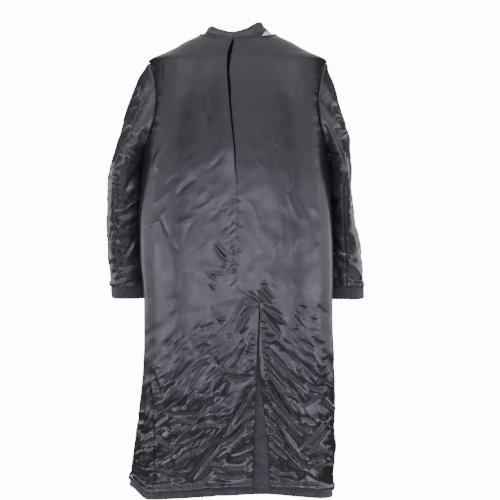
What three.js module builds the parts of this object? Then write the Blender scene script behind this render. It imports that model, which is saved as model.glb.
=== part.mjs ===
// An overcoat turned inside out: a wool shell, worn with its satin lining on the outside, hanging hollow as
// on a wearer's shoulders. Millimetres, +Z up. The back faces -Y, +X is the wearer's right, and the origin
// lies midway between the two points where the neck seam meets the shoulder seams.
import * as THREE from "three";

// Driving dimensions.
const WOOL = 2; // thickness of the shell, facings, turn-ups and each leg of the collar
const SATIN = 1; // thickness of the lining
const SEAM = 0.3; // gap between two pieces that are sewn together or lie on each other
const LAP = 2 * WOOL + 3 * SEAM; // how far the upper layer of a lap stands off the lower one
const HEM_Z = -1155;
const TURNUP = 27; // height of the wool turn-up that shows below the lining
const CUFF = 31; // height of the wool turn-up at each cuff
const VENT_TOP_Z = -689;
const VENT_SEAM_TOP_Z = -640; // the lining seam leaves the centre back here and slants to the vent
const PLEAT_RAISE = 3; // how far the fold of the centre-back pleat stands off
const PLEAT_DEPTH = 15; // cloth hidden under that fold
const PLEAT_END_Z = -385;
const FRONT_LAP = 45; // each front crosses the centre by this much
const FRONT_STAND = LAP + 1.6; // how far the right front's lap stands off the left front
const NECK_EDGE = THREE.MathUtils.degToRad(118); // angle where the collar and the front edges end at the neck
const FACING_SHARE = 0.7; // where the facing starts, as a share of the way from side to front edge

const LEFT = -1;
const RIGHT = 1;
const QUARTER = Math.PI / 2;

// A table: each row becomes an object with the named columns.
const named = (columns, rows) =>
  rows.map((row) => Object.fromEntries(columns.map((column, i) => [column, row[i]])));

// The shell's outer face: one row for each level of the body, hem first.
// side_z, back_z, front_z: heights at the side, centre back and centre front. left, right: half widths.
// left_y, right_y: where each side is widest. back_y, front_y: depths at the centre.
// back_n: squareness of the back.
const BODY_ROWS = named(
  ["side_z", "back_z", "front_z", "left", "right", "left_y", "right_y", "back_y", "front_y", "back_n"],
  [
    [HEM_Z, HEM_Z + 9, HEM_Z, 271, 239, 35, 5, -122, 152, 4.0],
    [HEM_Z + TURNUP, HEM_Z + TURNUP + 9, HEM_Z + TURNUP, 269, 241, 33, 5, -122, 151, 4.0],
    [-1040, -1037, -1040, 258, 246, 22, 4, -121, 146, 3.9],
    [-920, -920, -920, 244, 246, 10, 2, -120, 140, 3.8],
    [-800, -800, -800, 237, 242, 2, 0, -118, 133, 3.7],
    [VENT_TOP_Z, VENT_TOP_Z, VENT_TOP_Z, 237, 239, 0, 0, -116, 127, 3.6],
    [VENT_SEAM_TOP_Z, VENT_SEAM_TOP_Z, VENT_SEAM_TOP_Z, 240, 240, 0, 0, -116, 125, 3.5],
    [-560, -560, -560, 247, 240, 0, 0, -115, 122, 3.4],
    [-470, -470, -470, 250, 238, 0, 0, -115, 119, 3.3],
    [PLEAT_END_Z, PLEAT_END_Z, PLEAT_END_Z, 245, 234, 0, 0, -117, 117, 3.2],
    [-340, -340, -340, 242, 231, 0, 0, -118, 116, 3.1],
    [-296, -296, -296, 239, 229, 0, 0, -118, 115, 3.0],
    [-262, -262, -262, 236, 228, 0, 0, -118, 114, 2.9],
    [-222, -222, -222, 233, 228, 0, 0, -117, 112, 2.8],
    [-180, -180, -180, 231, 228, 0, 0, -115, 108, 2.6],
    [-140, -140, -142, 229, 227, 0, 0, -111, 102, 2.4],
    [-102, -104, -112, 228, 227, 0, 0, -105, 95, 2.25],
    [-71, -76, -96, 227, 226, 0, 0, -98, 88, 2.15],
    [-46, -58, -90, 181, 181, 0, 0, -91, 80, 2.05],
    [-21, -41, -85, 134, 135, 0, 0, -82, 70, 2.0],
    [0, -24, -80, 90, 91, 0, 0, -70, 60, 2.0],
  ],
);

// The centre-back edges, row for row with BODY_ROWS, in millimetres to the right of the centre. over: the
// left lining's edge, which is the pleat's fold higher up. left: the left shell's. under: the right lining's,
// which passes behind the fold. right: the right shell's. lap, pleat: shares of the rise of the left layers.
const CENTRE_ROWS = named(
  ["over", "left", "under", "right", "lap", "pleat"],
  [
    [35, 35, 82, 8, 1, 0],
    [36, 36, 80, 7, 1, 0],
    [38, 38, 76, 5, 1, 0],
    [42, 42, 62, 3, 1, 0],
    [47, 47, 55.5, 1, 1, 0],
    [52, 52, 54, 0, 1, 0],
    [0, 0, 0, 0, 0.5, 0],
    [0, 0, 0, 0, 0, 0],
    [0, 0, 0, 0, 0, 0],
    [-3, 0, -3, 0, 0, 0],
    [-8, 0, -8, 0, 0, 0.5],
    [-10, 0, -10 - PLEAT_DEPTH, 0, 0, 1],
    [-14, 0, -14 - PLEAT_DEPTH, 0, 0, 1],
    [-18, 0, -18 - PLEAT_DEPTH, 0, 0, 1],
    [-22, 0, -22 - PLEAT_DEPTH, 0, 0, 1],
    [-25, 0, -25 - PLEAT_DEPTH, 0, 0, 1],
    [-27, 0, -27 - PLEAT_DEPTH, 0, 0, 1],
    [-26, 0, -26 - PLEAT_DEPTH, 0, 0, 1],
    [-23, 0, -23 - PLEAT_DEPTH, 0, 0, 1],
    [-17, 0, -17 - PLEAT_DEPTH, 0, 0, 1],
    [-11, 0, -11 - PLEAT_DEPTH, 0, 0, 1],
  ],
);
const FRONT_N = 2; // squareness of the front
const HEM = 0;
const LINING_HEM = 1;
const VENT_TOP = 5;
const BREAK = 10; // the fronts part above this row
const UNDERARM = 11;
const SHOULDER = 17;
const NECK = 20;

// How much of the half width the back and the front keep between the armholes, from UNDERARM to SHOULDER.
const ARMHOLE_ROWS = named(
  ["back", "front"],
  [
    [1, 1],
    [0.935, 0.93],
    [0.895, 0.875],
    [0.88, 0.85],
    [0.9, 0.865],
    [0.94, 0.915],
    [1, 1],
  ],
);

// Columns of a back panel beyond its centre ones, as shares of the way out to its side edge.
const BACK_COLUMNS = [0.45, 0.64, 0.8, 0.91, 0.975, 1];
// Columns of a front panel, as shares of the angle from its side edge to its front edge.
const FRONT_COLUMNS = [0, 0.2, 0.42, 0.66, 1];
const FACING_COLUMNS = [0, 0.35, 0.7, 1];

// The sleeves' rings below the armhole: centre, half width across, half depth front to back.
const SLEEVE_COLUMNS = ["z", "x", "y", "across", "deep"];
const SLEEVE_ROWS = {
  [LEFT]: named(SLEEVE_COLUMNS, [
    [-330, -285, 8, 38, 89],
    [-390, -291, 26, 42, 85],
    [-450, -292, 50, 44, 78],
    [-515, -292, 72, 48, 71],
    [-580, -289, 89, 49, 66],
    [-646, -286, 100, 49, 61],
    [-646 - CUFF, -284, 104, 48, 59],
  ]),
  [RIGHT]: named(SLEEVE_COLUMNS, [
    [-330, 263, 6, 26, 97],
    [-390, 265, 26, 25.5, 93],
    [-450, 268, 52, 30, 84],
    [-515, 274, 75, 38, 75],
    [-580, 280, 92, 45, 67],
    [-648, 281, 103, 49.5, 61],
    [-648 - CUFF, 281.5, 107, 49.5, 59],
  ]),
};
// Between armhole and first ring: how far along, and how far the sleeve head stands out past a straight
// line. run: how far the underarm stands out from the body.
const HEAD_ROWS = [
  { share: 0, run: 0, [LEFT]: 0, [RIGHT]: 0 },
  { share: 0.12, run: 6, [LEFT]: 12, [RIGHT]: 2 },
  { share: 0.34, run: 12, [LEFT]: 12, [RIGHT]: 6 },
  { share: 0.66, run: 8, [LEFT]: 6, [RIGHT]: 12 },
];
const UNDERARM_RISE = 2.7; // how far above the body's edge the under sleeve starts
const ARMHOLE_GAP = 0.7; // gap to the body's edge along the rest of the armhole
const SLEEVE_TUCK = 20; // how far the sleeve's inner front leans in, where the body narrows towards its front
// The under sleeve spans the armhole points from its hind seam to its fore seam.
const SLEEVE_SEAMS = { [LEFT]: { hind: 2, fore: 7 }, [RIGHT]: { hind: 3, fore: 8 } };

// The collar round the neck, by angle from the centre back in degrees, left side negative: height of its
// roll over the neck seam and how far the stand leans in.
const COLLAR_ROWS = named(
  ["angle", "rise", "lean"],
  [
    [-118, 12, 9],
    [-104, 12, 15],
    [-90, 13, 21],
    [-70, 18, 22],
    [-50, 23, 20],
    [-25, 21, 20],
    [0, 18, 20],
    [20, 26, 20],
    [38, 38, 18],
    [56, 35, 23],
    [72, 28, 27],
    [90, 20, 26],
    [104, 14, 17],
    [118, 12, 9],
  ],
);
const COLLAR_FALL = 42; // length of the collar inside the neck, below its roll
const COLLAR_ROLL = 5; // radius of the roll
const COLLAR_GAP = 0.9; // from the neck seam up to the collar
const LABEL_AT = 38; // the tape label starts past this row of the collar
// The label's place, as shares of the columns and of the stand's lower part.
const LABEL = { from: 0.1, to: 0.45, low: 0.08, high: 0.92 };

// The largest folds of the skirt: ridges where depth is positive, troughs where it is negative. turn: angle
// from the centre back in degrees. spread: half width in degrees. from_z: where the fold begins, growing
// towards the hem.
const FOLD_COLUMNS = ["turn", "spread", "from_z", "depth"];
const FOLDS = {
  [LEFT]: named(FOLD_COLUMNS, [
    [57, 17, -830, -9],
    [83, 14, -760, 4],
    [120, 18, -700, -7],
    [139, 18, -800, 6],
  ]),
  [RIGHT]: named(FOLD_COLUMNS, [
    [62, 16, -880, -5],
    [104, 15, -740, -6],
    [120, 18, -820, 7],
    [138, 16, -900, -5],
  ]),
};

// Plain helpers.
const mix = (a, b, t) => a + (b - a) * t;
const clamp01 = (t) => Math.min(1, Math.max(0, t));
const smooth = (from, to, value) => {
  const t = clamp01((value - from) / (to - from));
  return t * t * (3 - 2 * t);
};

// A column of a table at a fractional row, straight between rows.
function at(table, column, row) {
  const i = Math.min(table.length - 2, Math.max(0, Math.floor(row)));
  return mix(table[i][column], table[i + 1][column], row - i);
}

// A point of the body's surface: angle 0 is the centre back, a quarter turn is the side, a half turn the
// centre front.
function bodyPoint(side, angle, row) {
  const name = side === LEFT ? "left" : "right";
  const width = at(BODY_ROWS, name, row);
  const widest_y = at(BODY_ROWS, name + "_y", row);
  const back = angle <= QUARTER;
  const n = back ? at(BODY_ROWS, "back_n", row) : FRONT_N;
  const s = Math.sin(angle);
  const c = Math.cos(angle);
  const depth = at(BODY_ROWS, back ? "back_y" : "front_y", row) - widest_y;
  const centre_z = at(BODY_ROWS, back ? "back_z" : "front_z", row);
  const side_z = at(BODY_ROWS, "side_z", row);
  const z = mix(side_z, centre_z, c * c);
  let swell = 0;
  for (const fold of FOLDS[side]) {
    const away = (THREE.MathUtils.radToDeg(angle) - fold.turn) / fold.spread;
    swell += fold.depth * smooth(fold.from_z, HEM_Z, z) * Math.exp(-away * away);
  }
  const out = new THREE.Vector2(side * s, -c);
  return new THREE.Vector3(
    side * width * Math.sign(s) * Math.pow(Math.abs(s), 2 / n) + swell * out.x,
    widest_y + depth * Math.pow(Math.abs(c), 2 / n) + swell * out.y,
    z,
  );
}

// The angle at which the body's surface is x millimetres from the centre, on the back or the front.
function angleAt(side, x, row, back) {
  const width = at(BODY_ROWS, side === LEFT ? "left" : "right", row);
  const n = back ? at(BODY_ROWS, "back_n", row) : FRONT_N;
  const share = (side * x) / width;
  const turn = Math.asin(Math.min(1, Math.pow(Math.abs(share), n / 2))) * Math.sign(share);
  return back ? turn : Math.PI - turn;
}

// The outward normal there, from two short steps on the surface.
function bodyNormal(side, angle, row) {
  const step = 0.02;
  const a = Math.min(Math.PI + 0.6, angle + step);
  const low = Math.max(0, row - 0.25);
  const high = Math.min(NECK, row + 0.25);
  const across = bodyPoint(side, a, row).sub(bodyPoint(side, angle - step, row));
  const up = bodyPoint(side, angle, high).sub(bodyPoint(side, angle, low));
  return across.cross(up).multiplyScalar(side).normalize();
}

// Each panel's edges, as angles.
const armholeAngle = (side, row, half) => {
  const share = armholeShare(row, half);
  if (share === 1) return QUARTER;
  const width = at(BODY_ROWS, side === LEFT ? "left" : "right", row);
  return angleAt(side, side * share * width, row, half === "back");
};

// The front edge: past the centre below the break, slanting to the side of the neck above it.
function frontEdgeAngle(side, row) {
  if (row <= BREAK) return angleAt(side, -side * FRONT_LAP, row, false);
  const start = angleAt(side, -side * FRONT_LAP, BREAK, false);
  return mix(start, NECK_EDGE, Math.pow((row - BREAK) / (NECK - BREAK), 0.8));
}

// A lattice node: its point on the shell's outer face, raised where it laps over another layer, and its normal.
function node(side, angle, row, raise = 0) {
  const n = bodyNormal(side, angle, row);
  return { p: bodyPoint(side, angle, row).addScaledVector(n, raise), n };
}

// Moves both ends of a row in by half the seam's gap, so that two pieces that meet keep it.
function insetEnds(row) {
  const shift = (end, next) => {
    end.p = end.p.clone().addScaledVector(next.p.clone().sub(end.p).normalize(), SEAM / 2);
  };
  shift(row[0], row[1]);
  shift(row[row.length - 1], row[row.length - 2]);
  return row;
}

// A closed wall between two offsets from a lattice, which is open or, across, a ring.
function wall(lattice, low, high, ring = false) {
  const rows = lattice.length;
  const columns = lattice[0].length;
  const position = [];
  for (const offset of [high, low])
    for (const row of lattice)
      for (const { p, n } of row) position.push(p.x + n.x * offset, p.y + n.y * offset, p.z + n.z * offset);
  const outer = (r, c) => r * columns + (c % columns);
  const inner = (r, c) => rows * columns + outer(r, c);
  const index = [];
  const quad = (a, b, c, d) => index.push(a, b, c, a, c, d);
  const spans = ring ? columns : columns - 1;
  for (let r = 0; r < rows - 1; r++)
    for (let c = 0; c < spans; c++) {
      quad(outer(r, c), outer(r, c + 1), outer(r + 1, c + 1), outer(r + 1, c));
      quad(inner(r, c), inner(r + 1, c), inner(r + 1, c + 1), inner(r, c + 1));
    }
  for (let c = 0; c < spans; c++) {
    quad(inner(0, c), inner(0, c + 1), outer(0, c + 1), outer(0, c));
    quad(outer(rows - 1, c), outer(rows - 1, c + 1), inner(rows - 1, c + 1), inner(rows - 1, c));
  }
  if (!ring)
    for (let r = 0; r < rows - 1; r++) {
      quad(outer(r, 0), outer(r + 1, 0), inner(r + 1, 0), inner(r, 0));
      quad(outer(r, spans), inner(r, spans), inner(r + 1, spans), outer(r + 1, spans));
    }
  // Turn the faces round if they point in.
  let volume = 0;
  const corner = (i) => new THREE.Vector3().fromArray(position, 3 * i);
  for (let i = 0; i < index.length; i += 3)
    volume += corner(index[i]).dot(corner(index[i + 1]).cross(corner(index[i + 2])));
  if (volume < 0) index.reverse();
  const geometry = new THREE.BufferGeometry();
  geometry.setAttribute("position", new THREE.Float32BufferAttribute(position, 3));
  geometry.setIndex(index);
  geometry.computeVertexNormals();
  return geometry;
}

const range = (from, to) => Array.from({ length: to - from + 1 }, (_, i) => from + i);

// Inner and outer faces of each kind of wall, measured from the shell's outer face.
const SHELL_LAYER = [-WOOL, 0];
const WOOL_LAYER = [SEAM, SEAM + WOOL];
const LINING_LAYER = [SEAM, SEAM + SATIN];

// How far the armhole has cut into the half width at a row.
const armholeShare = (row, half) =>
  row < UNDERARM || row > SHOULDER ? 1 : ARMHOLE_ROWS[row - UNDERARM][half];

// The columns of a back panel at a row: x to the right of the centre, and how far it is raised there.
function backColumns(side, row, satin) {
  const width = BODY_ROWS[row][side === LEFT ? "left" : "right"] * armholeShare(row, "back");
  const { over, left, under, right, lap, pleat } = CENTRE_ROWS[row];
  const vent = row <= VENT_TOP;
  const shares = BACK_COLUMNS.map((share) => ({ x: side * share * width, raise: 0 }));
  if (side === LEFT) {
    const raise = LAP * lap + (satin ? PLEAT_RAISE * pleat : 0);
    const reach = Math.min(40, 0.28 * width);
    const near = vent ? -12 : over - 0.62 * reach;
    const start = vent ? -70 : over - reach;
    return [{ x: satin ? over : left, raise }, { x: near, raise }, { x: start, raise: 0 }, ...shares];
  }
  const middle = vent ? 50 : 0.28 * width;
  if (!satin) return [{ x: right, raise: 0 }, { x: middle, raise: 0 }, ...shares];
  let between = [under < -PLEAT_DEPTH ? 0 : middle / 2, middle];
  if (vent) between = [mix(under, shares[0].x, 1 / 3), mix(under, shares[0].x, 2 / 3)];
  return [{ x: under, raise: 0 }, ...between.map((x) => ({ x, raise: 0 })), ...shares];
}

function backLattice(side, rows, satin) {
  return rows.map((row) => {
    const columns = backColumns(side, row, satin);
    const nodes = columns.map(({ x, raise }) => node(side, angleAt(side, x, row, true), row, raise));
    return insetEnds(nodes);
  });
}

const shellBack = (side) => wall(backLattice(side, range(HEM, NECK), false), ...SHELL_LAYER);
const liningBack = (side) => wall(backLattice(side, range(LINING_HEM, NECK), true), ...LINING_LAYER);
const turnupBack = (side) => wall(moved(backLattice(side, [HEM, LINING_HEM], true), 1, -SEAM), ...WOOL_LAYER);

// One row of a lattice, moved up or down to keep a seam's gap to the piece beyond it.
function moved(lattice, row, up) {
  for (const point of lattice[row]) point.p = point.p.clone().setZ(point.p.z + up);
  return lattice;
}

// The wool strip on the right side of the vent, from its folded edge to where the lining starts.
function ventFacing() {
  const lattice = range(HEM, VENT_TOP).map((row) => {
    const { right, under } = CENTRE_ROWS[row];
    const nodes = [right, 50, under].map((x) => node(RIGHT, angleAt(RIGHT, x, row, true), row));
    return insetEnds(nodes);
  });
  return wall(lattice, ...WOOL_LAYER);
}

// The front panels, from the side seam and armhole to the front edge.
function frontLattice(side, rows, shares) {
  return rows.map((row) => {
    const from = armholeAngle(side, row, "front");
    const to = frontEdgeAngle(side, row);
    const low = 1 - smooth(-300, -200, BODY_ROWS[row].front_z);
    const high = side === RIGHT ? FRONT_STAND * low : 0;
    const raise = (share) => high * smooth(0.47, FACING_SHARE, share);
    const nodes = shares.map((share) => node(side, mix(from, to, share), row, raise(share)));
    return insetEnds(nodes);
  });
}

const liningShares = FRONT_COLUMNS.map((share) => share * FACING_SHARE);
const facingShares = FACING_COLUMNS.map((share) => mix(FACING_SHARE, 1, share));

function shellFront(side) {
  const shares = [...liningShares, ...facingShares.slice(1)];
  return wall(frontLattice(side, range(HEM, NECK), shares), ...SHELL_LAYER);
}
const liningFront = (side) =>
  wall(frontLattice(side, range(LINING_HEM, NECK), liningShares), ...LINING_LAYER);
const facing = (side) => wall(frontLattice(side, range(HEM, NECK), facingShares), ...WOOL_LAYER);
const turnupFront = (side) =>
  wall(moved(frontLattice(side, [HEM, LINING_HEM], liningShares), 1, -SEAM), ...WOOL_LAYER);

// The armhole: from the shoulder point down the back, through the underarm and up the front.
function armhole(side) {
  const down = range(UNDERARM, SHOULDER).reverse();
  const up = range(UNDERARM + 1, SHOULDER - 1);
  return [
    ...down.map((row) => node(side, armholeAngle(side, row, "back"), row)),
    ...up.map((row) => node(side, armholeAngle(side, row, "front"), row)),
  ];
}

// A sleeve's lattice: rings from the armhole to the cuff, each with as many points as the armhole.
function sleeveRings(side) {
  const hole = armhole(side);
  const count = hole.length;
  const turn = (i) => (2 * Math.PI * i) / count;
  const ring = ({ x, y, z, across, deep }) =>
    hole.map((_, i) => {
      const inner = (1 - Math.cos(turn(i))) / 2;
      const front = Math.max(0, -Math.sin(turn(i)));
      const out = across * Math.cos(turn(i)) - SLEEVE_TUCK * inner * front;
      return new THREE.Vector3(x + side * out, y - deep * Math.sin(turn(i)), z);
    });
  const below = SLEEVE_ROWS[side].map(ring);
  // Towards the underarm the wall leaves the armhole a little inside its edge and first runs out from the body.
  const under = (i) => smooth(0.45, 0.95, (1 - Math.cos(turn(i))) / 2);
  const middle = hole.reduce((sum, { p }) => sum.add(p), new THREE.Vector3()).divideScalar(count);
  const starts = hole.map(({ p, n }, i) => {
    const inward = middle.clone().sub(p);
    inward.addScaledVector(n, -inward.dot(n)).normalize();
    return p.clone().addScaledVector(inward, ARMHOLE_GAP + UNDERARM_RISE * under(i));
  });
  const head = HEAD_ROWS.map((entry) =>
    starts.map((start, i) => {
      const out = entry[side] * Math.pow(clamp01(Math.cos(turn(i)) * 0.5 + 0.5), 2);
      const run = entry.run * under(i);
      const point = start.clone().lerp(below[0][i], entry.share);
      return point.setX(point.x + side * (out + run));
    }),
  );
  const rings = [...head, ...below];
  const normals = rings.map((points, r) =>
    points.map((_, i) => {
      const across = points[(i + 1) % count].clone().sub(points[(i + count - 1) % count]);
      const next = rings[Math.min(r + 1, rings.length - 1)][i];
      const along = next.clone().sub(rings[Math.max(r - 1, 0)][i]);
      return across.cross(along).multiplyScalar(side).normalize();
    }),
  );
  return rings.map((points, r) =>
    points.map((p, i) => {
      if (r > 0) return { p, n: normals[r][i] };
      const n = hole[i].n.clone().lerp(normals[0][i], 0.4 + 0.6 * under(i)).normalize();
      return { p, n };
    }),
  );
}

// One half of a sleeve: the under sleeve lies between the seams behind and inside the arm, the top sleeve
// covers the rest.
function sleeveHalf(side, under, last_ring, layer) {
  const rings = sleeveRings(side);
  const count = rings[0].length;
  const { hind, fore } = SLEEVE_SEAMS[side];
  const [from, to] = under ? [hind, fore] : [fore, count + hind];
  const lattice = rings
    .slice(0, last_ring + 1)
    .map((ring) => insetEnds(range(from, to).map((i) => ({ ...ring[i % count] }))));
  return wall(moved(lattice, lattice.length - 1, layer === LINING_LAYER ? SEAM : 0), ...layer);
}

const LAST_RING = HEAD_ROWS.length + SLEEVE_ROWS[LEFT].length - 1;
const cuffTurnup = (side) => wall(sleeveRings(side).slice(LAST_RING - 1), ...WOOL_LAYER, true);

// The collar: its stand leans in from the neck seam, rolls over and falls inside the neck.
function collarProfile(rise, lean) {
  const roll = Math.min(COLLAR_ROLL, rise * 0.35);
  const top = lean * 0.85;
  return [
    [0, 0],
    [lean * 0.45, (rise - roll) * 0.55],
    [top, rise - roll],
    [top + roll, rise],
    [top + 2.2 * roll, rise - roll],
    [top + 2.2 * roll, rise - roll - COLLAR_FALL * 0.5],
    [top + 1.6 * roll, rise - roll - COLLAR_FALL],
  ];
}

function collarFrame(angle_deg) {
  const side = angle_deg < 0 ? LEFT : RIGHT;
  const angle = Math.abs(THREE.MathUtils.degToRad(angle_deg));
  const base = bodyPoint(side, angle, NECK);
  const below = bodyPoint(side, angle, NECK - 0.2);
  const up = base.clone().sub(below).normalize();
  const inward = new THREE.Vector3(-base.x, -base.y, 0).normalize();
  return { base: base.addScaledVector(up, COLLAR_GAP), inward };
}

function collarLattice() {
  const profiles = COLLAR_ROWS.map(({ angle, rise, lean }) => {
    const { base, inward } = collarFrame(angle);
    return collarProfile(rise, lean).map(([inwards, height]) =>
      base.clone().addScaledVector(inward, inwards).add(new THREE.Vector3(0, 0, height)),
    );
  });
  const columns = profiles.length;
  return profiles[0].map((_, k) =>
    profiles.map((points, c) => {
      const next = profiles[Math.min(c + 1, columns - 1)][k];
      const along = next.clone().sub(profiles[Math.max(c - 1, 0)][k]);
      const up = points[Math.min(k + 1, points.length - 1)].clone().sub(points[Math.max(k - 1, 0)]);
      return { p: points[k], n: along.cross(up).normalize() };
    }),
  );
}

const collar = () => wall(collarLattice(), -WOOL, 0);

// The tape label lies on the right of the stand, made from the stand's own points.
function neckLabel() {
  const stand = collarLattice();
  const first = COLLAR_ROWS.findIndex(({ angle }) => angle === LABEL_AT);
  const blend = (a, b, t) => ({
    p: a.p.clone().lerp(b.p, t),
    n: a.n.clone().lerp(b.n, t).normalize(),
  });
  const patch = [LABEL.low, LABEL.high].map((height) =>
    [LABEL.from, 1, 1 + LABEL.to].map((step) => {
      const column = Math.min(first + 1, first + Math.floor(step));
      const along = (k) => blend(stand[k][column], stand[k][column + 1], first + step - column);
      return blend(along(0), along(1), height);
    }),
  );
  return wall(patch, 2 * SEAM, 2 * SEAM + SATIN);
}

// Materials.
const cloth = (color, roughness) => new THREE.MeshStandardMaterial({ color, roughness, metalness: 0 });
const wool = cloth(0x3a383d, 0.95);
const satin = cloth(0x4a4951, 0.35);
const tape = cloth(0xf1efe9, 0.8);

const coat = new THREE.Group();
function add(name, geometry, material) {
  const mesh = new THREE.Mesh(geometry, material);
  mesh.name = name;
  coat.add(mesh);
}

for (const [side, word] of [[LEFT, "left"], [RIGHT, "right"]]) {
  add(`shell_back_${word}`, shellBack(side), wool);
  add(`shell_front_${word}`, shellFront(side), wool);
  add(`facing_${word}`, facing(side), wool);
  add(`hem_turnup_back_${word}`, turnupBack(side), wool);
  add(`hem_turnup_front_${word}`, turnupFront(side), wool);
  add(`lining_back_${word}`, liningBack(side), satin);
  add(`lining_front_${word}`, liningFront(side), satin);
  for (const [under, half] of [[false, "top"], [true, "under"]]) {
    add(`shell_${half}sleeve_${word}`, sleeveHalf(side, under, LAST_RING, SHELL_LAYER), wool);
    add(`lining_${half}sleeve_${word}`, sleeveHalf(side, under, LAST_RING - 1, LINING_LAYER), satin);
  }
  add(`cuff_turnup_${word}`, cuffTurnup(side), wool);
}
add("vent_facing", ventFacing(), wool);
add("collar", collar(), wool);
add("neck_label", neckLabel(), tape);

export default coat;
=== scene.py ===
"""A wool overcoat turned inside out, satin lining outward, hanging hollow as on a wearer's shoulders.

Tables are in millimetres, +Z up. The back faces -Y and +X is the wearer's right.
"""

import math

import bpy
import numpy as np
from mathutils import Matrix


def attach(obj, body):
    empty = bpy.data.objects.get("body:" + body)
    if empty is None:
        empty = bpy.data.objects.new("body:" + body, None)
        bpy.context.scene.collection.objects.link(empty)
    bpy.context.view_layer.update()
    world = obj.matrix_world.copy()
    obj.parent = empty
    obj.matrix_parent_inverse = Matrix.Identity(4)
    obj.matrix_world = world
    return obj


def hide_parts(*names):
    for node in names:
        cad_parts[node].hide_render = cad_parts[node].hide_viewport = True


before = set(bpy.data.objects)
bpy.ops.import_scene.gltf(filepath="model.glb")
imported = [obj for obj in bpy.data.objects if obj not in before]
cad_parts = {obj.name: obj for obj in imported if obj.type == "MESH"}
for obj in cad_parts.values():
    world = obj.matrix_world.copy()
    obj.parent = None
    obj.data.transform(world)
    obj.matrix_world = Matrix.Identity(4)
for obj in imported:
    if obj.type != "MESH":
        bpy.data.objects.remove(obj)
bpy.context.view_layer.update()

LEFT, RIGHT = -1, 1
WORDS = {LEFT: "left", RIGHT: "right"}
QUARTER = math.pi / 2

# Thicknesses of the cloth as it is modelled here.
SATIN = 0.6
SHELL_WOOL = 1.8
TURNUP_WOOL = 1.6
COLLAR_WOOL = 2.0
TAPE = 0.5

# How far each layer's outer face stands off the coat's form. The shell sits low, clear of the troughs in
# the lining.
LINING_STAND = 1.3
FACING_STAND = 2.3
SHELL_STAND = -5.0
STRIP_STAND = -1.6
LAP = 4.9  # the left back over the right, and the right front over the left
FRONT_STAND = LAP + 1.6
FRONT_LIFT = 9.0  # the right front's lap with the room its creases need
VENT_LIFT = 7.0
PLEAT_LIFT = 4.5

# Heights and widths of the coat.
HEM_Z = -1155
TURNUP = 27
LINING_DROP = 19  # the lining's lower edge hangs this far over the turn-up
LINING_LOW_Z = HEM_Z + TURNUP - LINING_DROP
CUFF = 31
FRONT_LAP = 45
NECK_EDGE = math.radians(118)
FACING_SHARE = 0.7
FRONTS_PART_Z = (-300, -200)

# Rows of the body's table that the panels refer to.
VENT_TOP, VENT_SEAM_TOP, BREAK, UNDERARM, SHOULDER, NECK = 5, 6, 10, 11, 17, 20

# ---------------------------------------------------------------- the studio

COOL, PALE, PLAIN_LIGHT = (0.84, 0.80, 1.0), (0.98, 0.94, 1.0), (0.98, 0.96, 1.0)
SKIRT, CHEST, COLLAR_BACK = (0, 0, -0.64), (0, 0, 0.0), (0, 0, 0.2)

# name, place, aims at, size across, size up, watts, colour, whether it shows in the satin's sheen
LAMPS = [
    ("front_strip", (0.0, -3.3, -0.70), SKIRT, 2.4, 0.52, 19, COOL, True),
    ("left_strip", (-2.5, -2.5, -0.70), SKIRT, 2.4, 0.52, 19, COOL, True),
    ("right_strip", (2.5, -2.5, -0.70), SKIRT, 2.4, 0.52, 19, COOL, True),
    ("front_upper_panel", (0.0, -3.3, 0.85), COLLAR_BACK, 2.4, 1.5, 7, PALE, True),
    ("left_upper_panel", (-2.8, -2.1, 1.2), CHEST, 3.2, 2.6, 16, PALE, True),
    ("right_upper_panel", (2.8, -2.1, 1.2), CHEST, 3.2, 2.6, 16, PALE, True),
    ("high_front_panel", (0.0, -2.7, 2.5), CHEST, 6.0, 2.2, 31, PLAIN_LIGHT, True),
    ("top_panel", (0.0, -0.1, 3.2), CHEST, 6.0, 3.4, 40, PLAIN_LIGHT, True),
    ("high_soft_light", (0.0, -3.0, 1.3), (0, 0, -0.2), 2.6, 1.0, 22, PLAIN_LIGHT, False),
    ("far_left_strip", (-3.5, -0.4, -0.4), (0, 0, -0.5), 2.6, 1.3, 16, (0.86, 0.88, 1.0), True),
    ("far_right_strip", (3.5, -0.4, -0.4), (0, 0, -0.5), 2.6, 1.3, 16, (0.94, 0.90, 1.0), True),
    ("rear_left_strip", (-3.0, 1.9, -0.4), (0, 0, -0.5), 2.2, 1.2, 12, (0.95, 0.95, 1.0), True),
    ("rear_right_strip", (3.0, 1.9, -0.4), (0, 0, -0.5), 2.2, 1.2, 12, (0.95, 0.95, 1.0), True),
    ("behind_high_panel", (0.0, 3.0, 2.4), CHEST, 5.0, 3.2, 34, PLAIN_LIGHT, True),
    ("behind_strip", (0.4, 3.2, -0.6), (0, 0, -0.6), 3.0, 0.6, 14, (1.0, 1.0, 1.0), True),
    ("behind_high_light", (0.2, 2.4, 1.6), (0, 0, -0.4), 2.0, 1.0, 40, (1.0, 1.0, 1.0), False),
]
BACKDROP_STRENGTH = 13.0  # white, and seen by the camera only
ROOM_STRENGTH = 0.055  # what is left of the room's light between the lamps
CAMERA_PLACE = (0.015, -2.6, -0.56)
FLOOR_Z, FLOOR_RADIUS, FLOOR_SIDES = -1.52, 1.3, 96


def link_object(name, data):
    thing = bpy.data.objects.new(name, data)
    bpy.context.scene.collection.objects.link(thing)
    return thing


def camera():
    data = bpy.data.cameras.new("camera")
    data.lens = 73.12
    data.sensor_width = 36
    data.shift_x = 0.0123
    data.shift_y = 0.0075
    stand = link_object("camera", data)
    stand.location = CAMERA_PLACE
    stand.rotation_euler = (QUARTER, 0, 0)
    bpy.context.scene.camera = stand


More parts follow.
